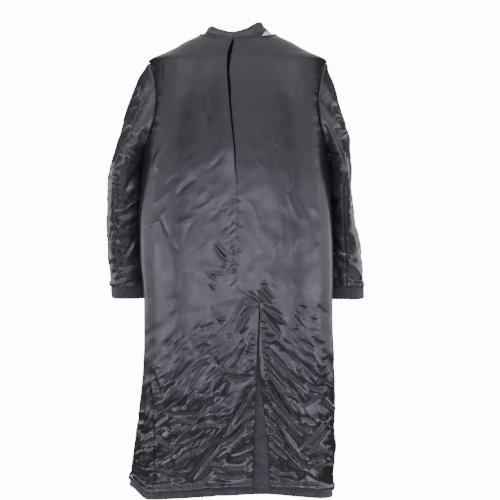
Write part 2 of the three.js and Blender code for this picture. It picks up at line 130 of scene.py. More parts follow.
def lamps():
    for name, place, aim, across, up, watts, colour, shines in LAMPS:
        lamp = bpy.data.lights.new(name, "AREA")
        lamp.shape = "RECTANGLE"
        lamp.size = across
        lamp.size_y = up
        lamp.energy = watts
        lamp.color = colour
        stand = link_object(name, lamp)
        stand.location = place
        stand.visible_glossy = shines
        way = np.array(aim, float) - np.array(place, float)
        flat = math.hypot(way[0], way[1])
        stand.rotation_euler = (math.atan2(flat, -way[2]), 0, math.atan2(-way[0], way[1]))


def tree_node(tree, kind, inputs=None, **settings):
    """A new node with its settings, then its inputs: sockets are linked and values are set."""
    node = tree.nodes.new(kind)
    for key, value in settings.items():
        setattr(node, key, value)
    feed(tree, node, inputs or {})
    return node


def feed(tree, node, inputs):
    for key, value in inputs.items():
        if isinstance(value, bpy.types.NodeSocket):
            tree.links.new(value, node.inputs[key])
        else:
            node.inputs[key].default_value = value


def surroundings():
    """A white backdrop for the camera and a dim room for the cloth."""
    world = bpy.data.worlds.new("studio")
    bpy.context.scene.world = world
    world.use_nodes = True
    tree = world.node_tree
    tree.nodes.clear()
    seen = tree_node(tree, "ShaderNodeBackground", {"Color": (1, 1, 1, 1), "Strength": BACKDROP_STRENGTH})
    room = tree_node(tree, "ShaderNodeBackground", {"Color": (0.9, 0.95, 1, 1), "Strength": ROOM_STRENGTH})
    path = tree_node(tree, "ShaderNodeLightPath")
    inputs = {"Fac": path.outputs["Is Camera Ray"], 1: room.outputs[0], 2: seen.outputs[0]}
    either = tree_node(tree, "ShaderNodeMixShader", inputs)
    tree_node(tree, "ShaderNodeOutputWorld", {"Surface": either.outputs[0]})


def new_finish(name):
    """A material, its node tree and its shader."""
    material = bpy.data.materials.new(name)
    material.use_nodes = True
    return material, material.node_tree, material.node_tree.nodes["Principled BSDF"]


def studio_floor():
    """A pale round floor well below the hem."""
    turns = [2 * math.pi * k / FLOOR_SIDES for k in range(FLOOR_SIDES)]
    ring = [(FLOOR_RADIUS * math.cos(turn), FLOOR_RADIUS * math.sin(turn), FLOOR_Z) for turn in turns]
    mesh = bpy.data.meshes.new("studio_floor")
    mesh.from_pydata(ring, [], [tuple(range(FLOOR_SIDES))])
    material, tree, shader = new_finish("pale_floor")
    feed(tree, shader, {"Base Color": (0.62, 0.62, 0.62, 1), "Roughness": 0.8})
    mesh.materials.append(material)
    link_object("studio_floor", mesh)


camera()
lamps()
surroundings()
studio_floor()

# ---------------------------------------------------------------- the form of the coat

# Fine points along a back, along a front, up the body, and the places round a sleeve where they are measured.
BACK_COLUMNS, FRONT_COLUMNS, BODY_LEVELS, LENGTH_LEVELS, ROUND_PLACES = 420, 300, 4001, 1200, 241
LAY_MARGIN = 8  # cloth may be laid this far past a lattice's ends

# Levels of the body, hem first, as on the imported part: heights at the side, centre back and centre front,
# half widths, where each side is widest, depths at the centre, and how square the back is.
BODY_ROWS = np.array(
    [
        [HEM_Z, HEM_Z + 9, HEM_Z, 271, 239, 35, 5, -122, 152, 4.0],
        [HEM_Z + TURNUP, HEM_Z + TURNUP + 9, HEM_Z + TURNUP, 269, 241, 33, 5, -122, 151, 4.0],
        [-1040, -1037, -1040, 258, 246, 22, 4, -121, 146, 3.9],
        [-920, -920, -920, 244, 246, 10, 2, -120, 140, 3.8],
        [-800, -800, -800, 237, 242, 2, 0, -118, 133, 3.7],
        [-689, -689, -689, 237, 239, 0, 0, -116, 127, 3.6],
        [-640, -640, -640, 240, 240, 0, 0, -116, 125, 3.5],
        [-560, -560, -560, 247, 240, 0, 0, -115, 122, 3.4],
        [-470, -470, -470, 250, 238, 0, 0, -115, 119, 3.3],
        [-385, -385, -385, 245, 234, 0, 0, -117, 117, 3.2],
        [-340, -340, -340, 242, 231, 0, 0, -118, 116, 3.1],
        [-296, -296, -296, 239, 229, 0, 0, -118, 115, 3.0],
        [-262, -262, -262, 236, 228, 0, 0, -118, 114, 2.9],
        [-222, -222, -222, 233, 228, 0, 0, -117, 112, 2.8],
        [-180, -180, -180, 231, 228, 0, 0, -115, 108, 2.6],
        [-140, -140, -142, 229, 227, 0, 0, -111, 102, 2.4],
        [-102, -104, -112, 228, 227, 0, 0, -105, 95, 2.25],
        [-71, -76, -96, 227, 226, 0, 0, -98, 88, 2.15],
        [-46, -58, -90, 181, 181, 0, 0, -91, 80, 2.05],
        [-21, -41, -85, 134, 135, 0, 0, -82, 70, 2.0],
        [0, -24, -80, 90, 91, 0, 0, -70, 60, 2.0],
    ],
    float,
)
BODY_COLUMNS = "side_z back_z front_z left right left_y right_y back_y front_y back_n".split()

# Centre-back edges, row for row, in x: over, the left lining's edge, which is the pleat's fold higher up;
# under, the right lining's; strip, the vent strip's. Then shares of the rise of the lap and of the pleat.
CENTRE_ROWS = np.array(
    [
        [35, 82, 8, 1, 0], [36, 80, 7, 1, 0], [38, 76, 5, 1, 0], [42, 62, 3, 1, 0], [47, 52, 1, 1, 0],
        [52, 54, 0, 1, 0], [0, 0, 0, 0.5, 0], [0, 0, 0, 0, 0], [0, 0, 0, 0, 0], [-3, -3, 0, 0, 0],
        [-8, -8, 0, 0, 0.5], [-10, -25, 0, 0, 1], [-14, -29, 0, 0, 1], [-18, -33, 0, 0, 1],
        [-22, -37, 0, 0, 1], [-25, -40, 0, 0, 1], [-27, -42, 0, 0, 1], [-26, -41, 0, 0, 1],
        [-23, -38, 0, 0, 1], [-17, -32, 0, 0, 1], [-11, -26, 0, 0, 1],
    ],
    float,
)
CENTRE_COLUMNS = "over under strip lap pleat".split()

# How far in the armhole cuts, as a share of the half width, from the underarm up to the shoulder.
ARMHOLE_BACK = [1, 0.935, 0.895, 0.88, 0.9, 0.94, 1]
ARMHOLE_FRONT = [1, 0.93, 0.875, 0.85, 0.865, 0.915, 1]

# The largest folds: angle from the centre back, half width in degrees, where they begin, depth at the hem.
FOLDS = {
    LEFT: [(57, 17, -830, -9), (83, 14, -760, 4), (120, 18, -700, -7), (139, 18, -800, 6)],
    RIGHT: [(62, 16, -880, -5), (104, 15, -740, -6), (120, 18, -820, 7), (138, 16, -900, -5)],
}

# Sleeve rings below the armhole: z, x, y, across, deep.
SLEEVE_ROWS = {
    LEFT: [
        (-330, -285, 8, 38, 89), (-390, -291, 26, 42, 85), (-450, -292, 50, 44, 78),
        (-515, -292, 72, 48, 71), (-580, -289, 89, 49, 66), (-646, -286, 100, 49, 61),
        (-646 - CUFF, -284, 104, 48, 59),
    ],
    RIGHT: [
        (-330, 263, 6, 26, 97), (-390, 265, 26, 25.5, 93), (-450, 268, 52, 30, 84),
        (-515, 274, 75, 38, 75), (-580, 280, 92, 45, 67), (-648, 281, 103, 49.5, 61),
        (-648 - CUFF, 281.5, 107, 49.5, 59),
    ],
}
# Sleeve head: share of the way to the first ring, run of the underarm, outward swell left and right.
HEAD_ROWS = [(0, 0, 0, 0), (0.12, 6, 12, 2), (0.34, 12, 12, 6), (0.66, 8, 6, 12)]
SLEEVE_TUCK = 20
# Each sleeve's seams, as places round it from the shoulder (0) past the back to the underarm (6) and on:
# the one behind the arm, then the one inside it.
SLEEVE_SEAM_AT = {LEFT: (2, 7), RIGHT: (3, 8)}

# The collar: angle from the centre back in degrees, rise, lean.
COLLAR_ROWS = np.array(
    [
        (-118, 12, 9), (-104, 15, 13), (-90, 20, 15), (-70, 21, 17), (-50, 20.5, 18),
        (-25, 20.5, 20), (0, 24.5, 20), (20, 29.5, 20), (38, 34, 18), (50, 36, 19),
        (60, 33, 22), (72, 25, 26), (90, 18, 26), (104, 14, 17), (118, 12, 9),
    ],
    float,
)
COLLAR_FALL = 42
COLLAR_ROLL = 5


def smooth(low, high, value):
    """From 0 at low to 1 at high, without a corner."""
    t = np.clip((np.asarray(value, float) - low) / (high - low), 0, 1)
    return t * t * (3 - 2 * t)


def spline(knots, values, level=True):
    """A smooth curve through values at knots; with level it never swings past them."""
    x = np.asarray(knots, float)
    y = np.asarray(values, float)
    shape = (-1,) + (1,) * (y.ndim - 1)
    h = np.diff(x).reshape(shape)
    d = np.diff(y, axis=0) / h
    slope = np.zeros_like(y)
    slope[0], slope[-1] = d[0], d[-1]
    if level:
        a, b = 2 * h[1:] + h[:-1], h[1:] + 2 * h[:-1]
        with np.errstate(divide="ignore", invalid="ignore"):
            both = (a + b) / (a / d[:-1] + b / d[1:])
        slope[1:-1] = np.where(d[:-1] * d[1:] > 0, both, 0)
    else:
        slope[1:-1] = (d[:-1] * h[1:] + d[1:] * h[:-1]) / (h[:-1] + h[1:])

    def at(where):
        where = np.clip(np.asarray(where, float), x[0], x[-1])
        i = np.clip(np.searchsorted(x, where, side="right") - 1, 0, len(x) - 2)
        span = x[i + 1] - x[i]
        t = (where - x[i]) / span
        if y.ndim > 1:
            t = t.reshape(t.shape + (1,) * (y.ndim - 1))
            span = span.reshape(span.shape + (1,) * (y.ndim - 1))
        t2, t3 = t * t, t * t * t
        out = (2 * t3 - 3 * t2 + 1) * y[i] + (t3 - 2 * t2 + t) * span * slope[i]
        return out + (3 * t2 - 2 * t3) * y[i + 1] + (t3 - t2) * span * slope[i + 1]

    return at


LEVELS = range(len(BODY_ROWS))
BODY = {name: spline(LEVELS, BODY_ROWS[:, k]) for k, name in enumerate(BODY_COLUMNS)}
CENTRE = {name: spline(LEVELS, CENTRE_ROWS[:, k]) for k, name in enumerate(CENTRE_COLUMNS)}
ARMHOLE = {
    "back": spline(range(UNDERARM, SHOULDER + 1), ARMHOLE_BACK),
    "front": spline(range(UNDERARM, SHOULDER + 1), ARMHOLE_FRONT),
}
fine_rows = np.linspace(0, NECK, BODY_LEVELS)
fine_z = BODY["side_z"](fine_rows)


def row_at(z):
    """The body's row, with fractions, whose side is at height z."""
    return np.interp(z, fine_z, fine_rows)


def half_width(side, row):
    return BODY["left" if side == LEFT else "right"](row)


def body_point(side, angle, row):
    """Angle 0 is the centre back, a quarter turn the side and a half turn the centre front."""
    angle, row = np.broadcast_arrays(np.asarray(angle, float), np.asarray(row, float))
    widest_y = BODY["left_y" if side == LEFT else "right_y"](row)
    back = angle <= QUARTER
    n = np.where(back, BODY["back_n"](row), 2.0)
    s, c = np.sin(angle), np.cos(angle)
    depth = np.where(back, BODY["back_y"](row), BODY["front_y"](row)) - widest_y
    centre_z = np.where(back, BODY["back_z"](row), BODY["front_z"](row))
    z = BODY["side_z"](row) + (centre_z - BODY["side_z"](row)) * c * c
    swell = np.zeros_like(z)
    for turn, spread, from_z, fold in FOLDS[side]:
        away = (np.degrees(angle) - turn) / spread
        swell += fold * smooth(from_z, HEM_Z, z) * np.exp(-away * away)
    x = side * half_width(side, row) * np.sign(s) * np.abs(s) ** (2 / n) + swell * side * s
    y = widest_y + depth * np.abs(c) ** (2 / n) - swell * c
    return np.stack([x, y, z], axis=-1)


def armhole_share(row, half):
    row = np.asarray(row, float)
    return np.where((row > UNDERARM) & (row < SHOULDER), ARMHOLE[half](row), 1.0)


def back_lattice(side, rows, inner_x):
    """Fine points of the back from inner_x, to the right of the centre, out to the armhole or side seam."""
    rows = np.asarray(rows, float)
    wide = half_width(side, rows)
    start = np.arcsin(np.clip(side * inner_x / wide, -1, 1))[:, None]
    end = np.arcsin(armhole_share(rows, "back"))[:, None]
    share = np.linspace(0, 1, BACK_COLUMNS)[None]
    out = np.sin(start + (end - start) * (1 - (1 - share) ** 2))
    n = BODY["back_n"](rows)[:, None]
    return body_point(side, np.sign(out) * np.arcsin(np.minimum(1, np.abs(out) ** (n / 2))), rows[:, None])


def front_edge_angle(side, rows):
    rows = np.asarray(rows, float)
    straight = math.pi + np.arcsin(FRONT_LAP / half_width(side, rows))
    start = math.pi + math.asin(FRONT_LAP / float(half_width(side, BREAK)))
    share = np.clip((rows - BREAK) / (NECK - BREAK), 0, 1) ** 0.8
    return np.where(rows <= BREAK, straight, start + (NECK_EDGE - start) * share)


def front_lattice(side, rows, first, last):
    """Fine points of a front between two shares of the way from the side or armhole to the front edge."""
    rows = np.asarray(rows, float)
    share = armhole_share(rows, "front")
    start = np.where(share < 1, math.pi - np.arcsin(share), QUARTER)[:, None]
    end = front_edge_angle(side, rows)[:, None]
    along = np.linspace(first, last, FRONT_COLUMNS)[None]
    points = body_point(side, start + (end - start) * along, rows[:, None])
    return raise_right_front(side, points, rows, first, last, FRONT_STAND)


def raise_right_front(side, points, rows, first, last, rise):
    """The right front stands off the left one, more towards its edge, up to where the fronts part."""
    if side == LEFT:
        return points
    low = 1 - smooth(*FRONTS_PART_Z, BODY["front_z"](rows))[:, None]
    lift = rise * low * smooth(0.47, FACING_SHARE, np.linspace(first, last, FRONT_COLUMNS)[None])
    return points + grid_normals(points, side) * lift[..., None]


def unit(v):
    """Vectors made one long."""
    return v / np.maximum(np.linalg.norm(v, axis=-1, keepdims=True), 1e-9)


def grid_normals(points, turn, ring=False):
    """Unit normals of a grid of points (rows, columns, 3); turn is 1 or -1 to face them outwards."""
    if ring:
        across = np.roll(points, -1, axis=1) - np.roll(points, 1, axis=1)
    else:
        across = np.gradient(points, axis=1)
    up = np.gradient(points, axis=0)
    return unit(np.cross(across, up)) * turn


def sleeve_rings(side, turns):
    """Control rings of a sleeve at the given places round it, where 0 is the shoulder and 6 the underarm."""
    turns = np.asarray(turns, float) % 12
    back = turns <= 6
    row = np.where(back, SHOULDER - turns, UNDERARM + (turns - 6))
    share_back, share_front = armhole_share(row, "back"), armhole_share(row, "front")
    n = BODY["back_n"](row)
    angle = np.where(back, np.arcsin(np.minimum(1, share_back ** (n / 2))), math.pi - np.arcsin(share_front))
    hole = body_point(side, angle, row)
    phase = 2 * math.pi * turns / 12
    inner = (1 - np.cos(phase)) / 2
    front = np.maximum(0, -np.sin(phase))
    below = []
    for z, x, y, across, deep in SLEEVE_ROWS[side]:
        out = across * np.cos(phase) - SLEEVE_TUCK * inner * front
        below.append(np.stack([x + side * out, y - deep * np.sin(phase), np.full_like(phase, z)], axis=-1))
    under = smooth(0.45, 0.95, inner)
    rings = []
    for share, run, out_left, out_right in HEAD_ROWS:
        out = (out_left if side == LEFT else out_right) * ((np.cos(phase) + 1) / 2) ** 2 + run * under
        point = hole + (below[0] - hole) * share
        point[:, 0] += side * out
        rings.append(point)
    return np.array(rings + below)


def lay(lattice, normals, distances):
    """Points and normals at distances (rows, columns) along each row of a lattice."""
    first = lattice[:, :1] + LAY_MARGIN * unit(lattice[:, :1] - lattice[:, 6:7])
    last = lattice[:, -1:] + LAY_MARGIN * unit(lattice[:, -1:] - lattice[:, -7:-6])
    points = np.concatenate([first, lattice, last], axis=1)
    ends = np.concatenate([normals[:, :1], normals, normals[:, -1:]], axis=1)
    out_p, out_n = np.empty(distances.shape + (3,)), np.empty(distances.shape + (3,))
    for r in range(len(points)):
        run = running_length(points[r]) - LAY_MARGIN
        for k in range(3):
            out_p[r, :, k] = np.interp(distances[r], run, points[r, :, k])
            out_n[r, :, k] = np.interp(distances[r], run, ends[r, :, k])
    return out_p, unit(out_n)


def running_length(points):
    """Distance along a line of points, from 0 at its first."""
    return np.concatenate([[0], np.cumsum(np.linalg.norm(np.diff(points, axis=0), axis=1))])


def mean_gaps(grid):
    """Distances up a grid of points, on average over its columns, from 0 at its first row."""
    return np.concatenate([[0], np.cumsum(np.linalg.norm(np.diff(grid, axis=0), axis=2).mean(axis=1))])


def row_lengths(lattice):
    return np.linalg.norm(np.diff(lattice, axis=1), axis=2).sum(axis=1)


def rows_by_length(side, low, high, step, front=False):
    """Fractional rows from low to high, about step millimetres apart where the panel is longest."""
    fine = np.linspace(low, high, LENGTH_LEVELS)
    angles = (QUARTER * 1.3, math.pi * 0.9) if front else (0.05, QUARTER * 0.8, QUARTER)
    runs = [np.linalg.norm(np.diff(body_point(side, a, fine), axis=0), axis=1) for a in angles]
    length = np.concatenate([[0], np.cumsum(np.max(runs, axis=0))])
    return np.interp(np.linspace(0, length[-1], int(length[-1] / step) + 1), length, fine)

# ---------------------------------------------------------------- creases

# Creases are soft ridges (height above 0) and troughs (below 0) pressed into the lining:
# half width, height, side of the companion roll (0 for none), and the points they run through.
# On the back the points are x and z, as seen from behind.
BACK_CREASES = [
    (7, 3.5, 1, [(-187, -292), (-200, -324), (-208, -353)]),
    (5, -2, 0, [(-197, -350), (-207, -375)]),
    (9, 2.2, 0, [(-214, -441), (-195, -429), (-166, -399)]),
    (8, -1.6, 0, [(-151, -419), (-126, -390), (-102, -375)]),
    (7, 1.8, 0, [(-224, -492), (-209, -487), (-192, -475)]),
    (6, -1.6, 0, [(-190, -463), (-180, -492), (-168, -522)]),
    (6, 1.6, 0, [(-151, -492), (-131, -480), (-109, -470)]),
    (5, -1.4, 0, [(-163, -526), (-148, -556)]),
    (6, 1.6, 0, [(125, -409), (133, -441), (150, -473), (162, -480)]),
    (6, 1.2, 0, [(145, -419), (160, -453), (172, -492)]),
    (10, -1.5, 0, [(182, -448), (186, -492), (196, -541)]),
    (5.5, -3.4, 1, [(-60, -536), (-46, -556), (-26, -578)]),
    (4.5, -2.4, 1, [(-41, -583), (-29, -592)]),
    (4, -1.8, 0, [(-82, -595), (-65, -614), (-48, -627)]),
    (4, -2, 1, [(-73, -634), (-59, -653)]),
    (5, 1.2, 0, [(-70, -605), (-46, -609), (-24, -605)]),
    (4, -2.2, 1, [(54, -635), (74, -638)]),
    (4, -3, 1, [(57, -641), (72, -658), (86, -675)]),
    (4.5, -3, 1, [(47, -649), (67, -668), (81, -688)]),
    (4, -2.4, 1, [(47, -666), (62, -683)]),
    (4, -2.4, 0, [(47, -675), (32, -668), (18, -666)]),
    (4, -2, 0, [(47, -666), (35, -658), (25, -656)]),
    (4, -2.4, 0, [(50, -684), (32, -680), (15, -682)]),
    (6, -5, 1, [(52, -685), (28, -694), (9, -715), (-7, -751)]),
    (7, 3, 0, [(30, -710), (15, -729), (6, -754)]),
    (6, -5, -1, [(56, -690), (72, -717), (89, -737), (108, -763)]),
    (5, -3.6, -1, [(59, -686), (84, -697), (111, -717)]),
    (5, 2.6, 0, [(74, -702), (98, -722), (123, -732)]),
    (3.2, -3, 1, [(35, -737), (20, -783), (8, -815), (1, -844)]),
    (4, -2.4, 1, [(28, -749), (13, -778), (4, -788)]),
    (6, -2.4, 0, [(-16, -754), (-26, -766)]),
    (4, -2.6, 1, [(45, -798), (28, -804), (13, -800)]),
    (6.5, -5, -1, [(67, -785), (91, -810), (113, -834), (140, -864), (177, -893)]),
    (6, 2.6, 0, [(79, -820), (101, -849), (123, -871)]),
    (5, -3.4, -1, [(62, -751), (74, -766), (96, -761)]),
    (6, 2, 0, [(91, -766), (106, -785), (103, -800)]),
    (6, -4.6, -1, [(64, -842), (76, -871), (96, -908), (120, -942), (157, -979)]),
    (6, 3.4, 0, [(74, -854), (96, -888), (125, -927), (152, -957)]),
    (6, -4.4, -1, [(69, -900), (94, -927), (125, -964), (162, -1008)]),
    (6, 3.2, 0, [(84, -908), (113, -944), (150, -986), (191, -1005)]),
    (5, -3, -1, [(72, -925), (96, -959), (113, -981)]),
    (6, -4.4, -1, [(74, -964), (96, -988), (116, -1025), (147, -1064), (184, -1093)]),
    (5, 3, 0, [(79, -952), (101, -976), (125, -1020), (160, -1059)]),
    (5, -3, 1, [(76, -1010), (96, -1035), (125, -1059)]),
    (6, -4.4, 1, [(40, -881), (23, -908), (1, -944), (-34, -1005)]),
    (6, 3, 0, [(32, -903), (13, -937), (-14, -976)]),
    (5, 3.6, 1, [(40, -949), (15, -966), (-16, -996), (-51, -1020)]),
    (6, -3.4, 0, [(37, -964), (13, -983), (-21, -1020)]),
    (6, 3.8, -1, [(-36, -1030), (-73, -1069), (-117, -1125)]),
    (6, -4, 0, [(-24, -1047), (-56, -1079), (-102, -1123)]),
    (5, 2.6, 0, [(-41, -1066), (-73, -1093), (-109, -1128)]),
    (4, 2.6, 1, [(-38, -856), (-58, -888), (-65, -925)]),
    (6, -3, 0, [(-29, -866), (-46, -893), (-60, -922)]),
    (6, -2, 0, [(-68, -803), (-53, -825), (-34, -849)]),
    (5, 2.4, 0, [(-38, -844), (-16, -850), (8, -854)]),
    (8, -3, 0, [(-24, -861), (1, -866), (28, -859)]),
    (4, -3, 1, [(-65, -683), (-58, -707), (-43, -729), (-29, -719)]),
    (4, 2, 0, [(-48, -715), (-38, -722), (-26, -715)]),
    (4, 1.8, 0, [(-102, -788), (-82, -776), (-65, -783)]),
    (4, -1.6, 0, [(-92, -734), (-85, -754)]),
    (5, -2.8, 1, [(-100, -888), (-117, -908), (-131, -942)]),
    (5, 2.4, 0, [(-85, -908), (-112, -915), (-124, -932)]),
    (4, 2, 0, [(-70, -947), (-51, -937), (-29, -930)]),
    (4.5, 3, 1, [(-158, -966), (-134, -969), (-107, -977)]),
    (4, 2.4, 0, [(-136, -971), (-144, -991), (-148, -1005)]),
    (4.5, 3.2, 1, [(-205, -1005), (-183, -1025), (-141, -1037)]),
    (4, 2.2, 0, [(-197, -1020), (-175, -1040), (-161, -1037)]),
    (4.5, 3, 1, [(-151, -1069), (-122, -1052), (-82, -1040)]),
    (5, 3.2, -1, [(-209, -1062), (-190, -1081), (-161, -1091), (-124, -1086)]),
    (4, 2.2, 0, [(-183, -1071), (-170, -1081)]),
    (5, 2.8, -1, [(-70, -1071), (-24, -1081), (30, -1090)]),
    (7, -3, 0, [(-60, -1093), (-16, -1101), (28, -1098)]),
    (5, 3.2, -1, [(76, -1088), (101, -1098), (130, -1099), (152, -1108)]),
    (5, -2.6, 0, [(-190, -947), (-153, -954), (-100, -952)]),
    (7, 2, 0, [(-209, -937), (-175, -915), (-141, -881)]),
    (5, -3, 0, [(-209, -849), (-200, -883), (-187, -908)]),
    (6, 2.6, 0, [(-217, -869), (-209, -898), (-205, -927)]),
    (6, -2, 0, [(-202, -927), (-214, -952)]),
    (5, 2, 0, [(-102, -986), (-68, -979), (-38, -986)]),
    (6, -2.4, 0, [(-178, -979), (-161, -1000), (-163, -1025)]),
    (4, -4.5, 0, [(-214, -847), (-213, -905), (-211, -991), (-208, -1069), (-206, -1132)]),
    (5, 3.5, 0, [(-223, -864), (-224, -942), (-227, -1015), (-224, -1108)]),
    (4, 2.6, 0, [(-234, -966), (-239, -1040), (-239, -1113)]),
    (5.5, 3.4, 1, [(152, -1044), (186, -1010), (213, -986), (238, -966)]),
    (6, -3.4, 0, [(167, -1049), (201, -1015), (233, -991)]),
    (5, 2.6, 0, [(177, -1079), (206, -1071), (235, -1074)]),
    (5, 2.4, 0, [(162, -1027), (194, -1040), (228, -1037)]),
    (5, -2.8, 0, [(167, -1066), (199, -1062), (228, -1059)]),
    (5, 2.4, 0, [(128, -1123), (167, -1115), (226, -1123)]),
    (5, -2.4, 1, [(153, -688), (167, -697)]),
    (5, -2.2, 1, [(179, -717), (193, -727)]),
    (5, -2, 1, [(135, -744), (149, -751)]),
    (6, -4, 1, [(179, -761), (194, -776), (213, -788)]),
    (5, -2.8, 1, [(152, -771), (172, -781), (189, -798)]),
    (5, -3, -1, [(191, -834), (206, -849), (221, -839)]),
    (6, -3, -1, [(167, -873), (186, -888), (218, -886)]),
    (5, 2.2, 0, [(162, -903), (189, -908), (221, -898)]),
    (5, -2, 0, [(157, -932), (189, -920), (216, -915)]),
    (6, -2.6, 0, [(216, -908), (228, -922), (238, -942)]),
    (5, -2, 1, [(204, -820), (218, -825)]),
]
LEFT_SLEEVE_CREASES = [
    (7, 4, 1, [(-297, -299), (-275, -316), (-245, -336)]),
    (7, -4, 0, [(-286, -292), (-262, -309), (-239, -321)]),
    (6, -3, 0, [(-301, -348), (-292, -361)]),
    (5, -2.4, 0, [(-299, -321), (-287, -316)]),
    (8, -5, 1, [(-250, -346), (-266, -376), (-282, -403), (-295, -423)]),
    (7, 4, 0, [(-256, -368), (-272, -398), (-285, -421)]),
    (5, 4, -1, [(-254, -398), (-265, -431), (-281, -448), (-314, -456)]),
    (6, -4, 0, [(-260, -431), (-278, -456), (-299, -464)]),
    (5, 4, -1, [(-247, -436), (-261, -458), (-281, -471), (-310, -474)]),
    (6, -3.4, 0, [(-253, -469), (-277, -486), (-302, -494)]),
    (6, 3, 0, [(-311, -441), (-296, -433), (-280, -438)]),
    (5, 2.6, 0, [(-310, -497), (-292, -489)]),
    (7, 3.6, 1, [(-308, -525), (-301, -550), (-297, -574)]),
    (6, 3.6, -1, [(-297, -579), (-278, -555), (-262, -520)]),
    (5, -3.6, 0, [(-292, -566), (-275, -540), (-262, -509)]),
    (6, 3, 0, [(-295, -581), (-276, -568), (-258, -543)]),
    (6, -4, 0, [(-317, -545), (-313, -581), (-303, -612)]),
    (5, 3.2, 1, [(-322, -625), (-306, -611), (-282, -607), (-262, -610)]),
    (6, -3, 0, [(-303, -597), (-277, -592), (-256, -586)]),
    (6, 3.4, 0, [(-312, -639), (-296, -631), (-288, -623)]),
    (5, -3.6, 0, [(-307, -652), (-283, -636), (-247, -628)]),
    (5, 2.8, 0, [(-296, -649), (-273, -642), (-247, -635)]),
    (7, -3.2, 0, [(-265, -124), (-248, -154), (-229, -187)]),
    (7, 3.4, 1, [(-261, -178), (-243, -158), (-223, -129)]),
    (6, -3, 0, [(-282, -216), (-261, -197), (-237, -206)]),
    (6, 3, 0, [(-293, -252), (-272, -235), (-248, -245)]),
    (7, -3.4, 0, [(-296, -277), (-271, -265), (-241, -279)]),
    (6, 2.6, 0, [(-254, -221), (-237, -240), (-236, -269)]),
]
RIGHT_SLEEVE_CREASES = [
    (6, 3.6, 1, [(251, -277), (264, -260), (281, -245)]),
    (5, 3, 0, [(222, -296), (234, -287), (249, -284)]),
    (5, 4, -1, [(224, -306), (244, -304), (260, -311), (248, -326), (230, -346)]),
    (7, -4, 0, [(227, -321), (240, -316)]),
    (6, 3, 0, [(253, -343), (261, -363)]),
    (7, 4, 1, [(262, -388), (249, -406), (237, -423)]),
    (6, -3.6, 0, [(255, -421), (245, -436), (237, -446)]),
    (6, 3, 0, [(243, -458), (253, -441), (260, -423)]),
    (8, -5, 0, [(236, -497), (249, -504), (259, -520)]),
    (6, 3.4, 0, [(246, -486), (257, -504), (265, -530)]),
    (5, 3, -1, [(239, -548), (250, -550), (268, -566)]),
    (6, -5, 1, [(245, -558), (266, -579), (282, -592)]),
    (5, -3, -1, [(276, -586), (286, -571), (296, -553)]),
    (5, 4.2, -1, [(272, -599), (287, -586), (300, -594), (316, -615), (327, -631)]),
    (6, -5, 0, [(277, -607), (298, -618), (319, -639)]),
    (5, 3.4, 0, [(267, -639), (282, -625), (303, -631)]),
    (5, 3.4, 0, [(278, -649), (296, -641), (319, -636)]),
    (5, -3, 0, [(259, -628), (273, -644), (293, -652)]),
    (6, 2.6, 0, [(243, -581), (248, -607), (246, -636)]),
    (6, -3, 0, [(256, -597), (262, -625)]),
    (7, 2.4, 0, [(273, -348), (277, -398), (283, -448)]),
    (7, -3.2, 0, [(249, -124), (231, -154), (217, -187)]),
    (7, 3.4, 1, [(244, -187), (229, -158), (216, -129)]),
    (6, -3, 0, [(265, -202), (247, -187), (230, -206)]),
    (6, 3, 0, [(275, -228), (255, -218), (233, -235)]),
    (6, -3, 0, [(271, -255), (251, -245), (231, -260)]),
]

# The fronts and the sleeves' hidden sides, x and z as seen from the front.
FRONT_CREASES = [
    (7, 3.2, 1, [(-150, -210), (-128, -260), (-120, -320)]),
    (6, -3, 0, [(150, -205), (126, -262), (112, -330)]),
    (7, 2.6, -1, [(-60, -330), (-100, -352), (-160, -360)]),
    (6, -2.8, 1, [(62, -318), (102, -348), (158, -352)]),
    (6, -3, 0, [(-80, -300), (-112, -322), (-165, -330)]),
    (8, 2.2, 0, [(-178, -430), (-150, -520), (-158, -600)]),
    (7, -2.4, 1, [(170, -440), (148, -515), (152, -590)]),
    (6, 2.6, 1, [(-60, -480), (-96, -540), (-150, -580)]),
    (6, -2.6, -1, [(70, -470), (110, -528), (160, -560)]),
    (7, -3.6, 1, [(-70, -640), (-105, -720), (-160, -800)]),
    (6, 3.2, 0, [(-62, -690), (-92, -760), (-138, -850)]),
    (7, 3.4, -1, [(66, -650), (100, -735), (150, -812)]),
    (6, -3.6, 0, [(72, -720), (108, -800), (165, -880)]),
    (7, -4, 1, [(-76, -820), (-120, -900), (-185, -985)]),
    (6, 3.6, 0, [(-84, -880), (-136, -960), (-196, -1040)]),
    (7, 3.8, 1, [(78, -840), (128, -922), (188, -1010)]),
    (6, -3.4, -1, [(84, -905), (140, -985), (200, -1062)]),
    (5, 3, 1, [(-90, -1010), (-130, -1045), (-176, -1052)]),
    (5, 2.8, -1, [(92, -1020), (134, -1062), (180, -1070)]),
    (5, -2.6, 0, [(-150, -900), (-190, -890), (-222, -905)]),
    (5, -2.8, 1, [(150, -930), (186, -915), (215, -925)]),
    (5, 2.6, 0, [(-100, -1085), (-150, -1092), (-205, -1080)]),
    (5, 2.6, 0, [(100, -1090), (150, -1100), (205, -1088)]),
]
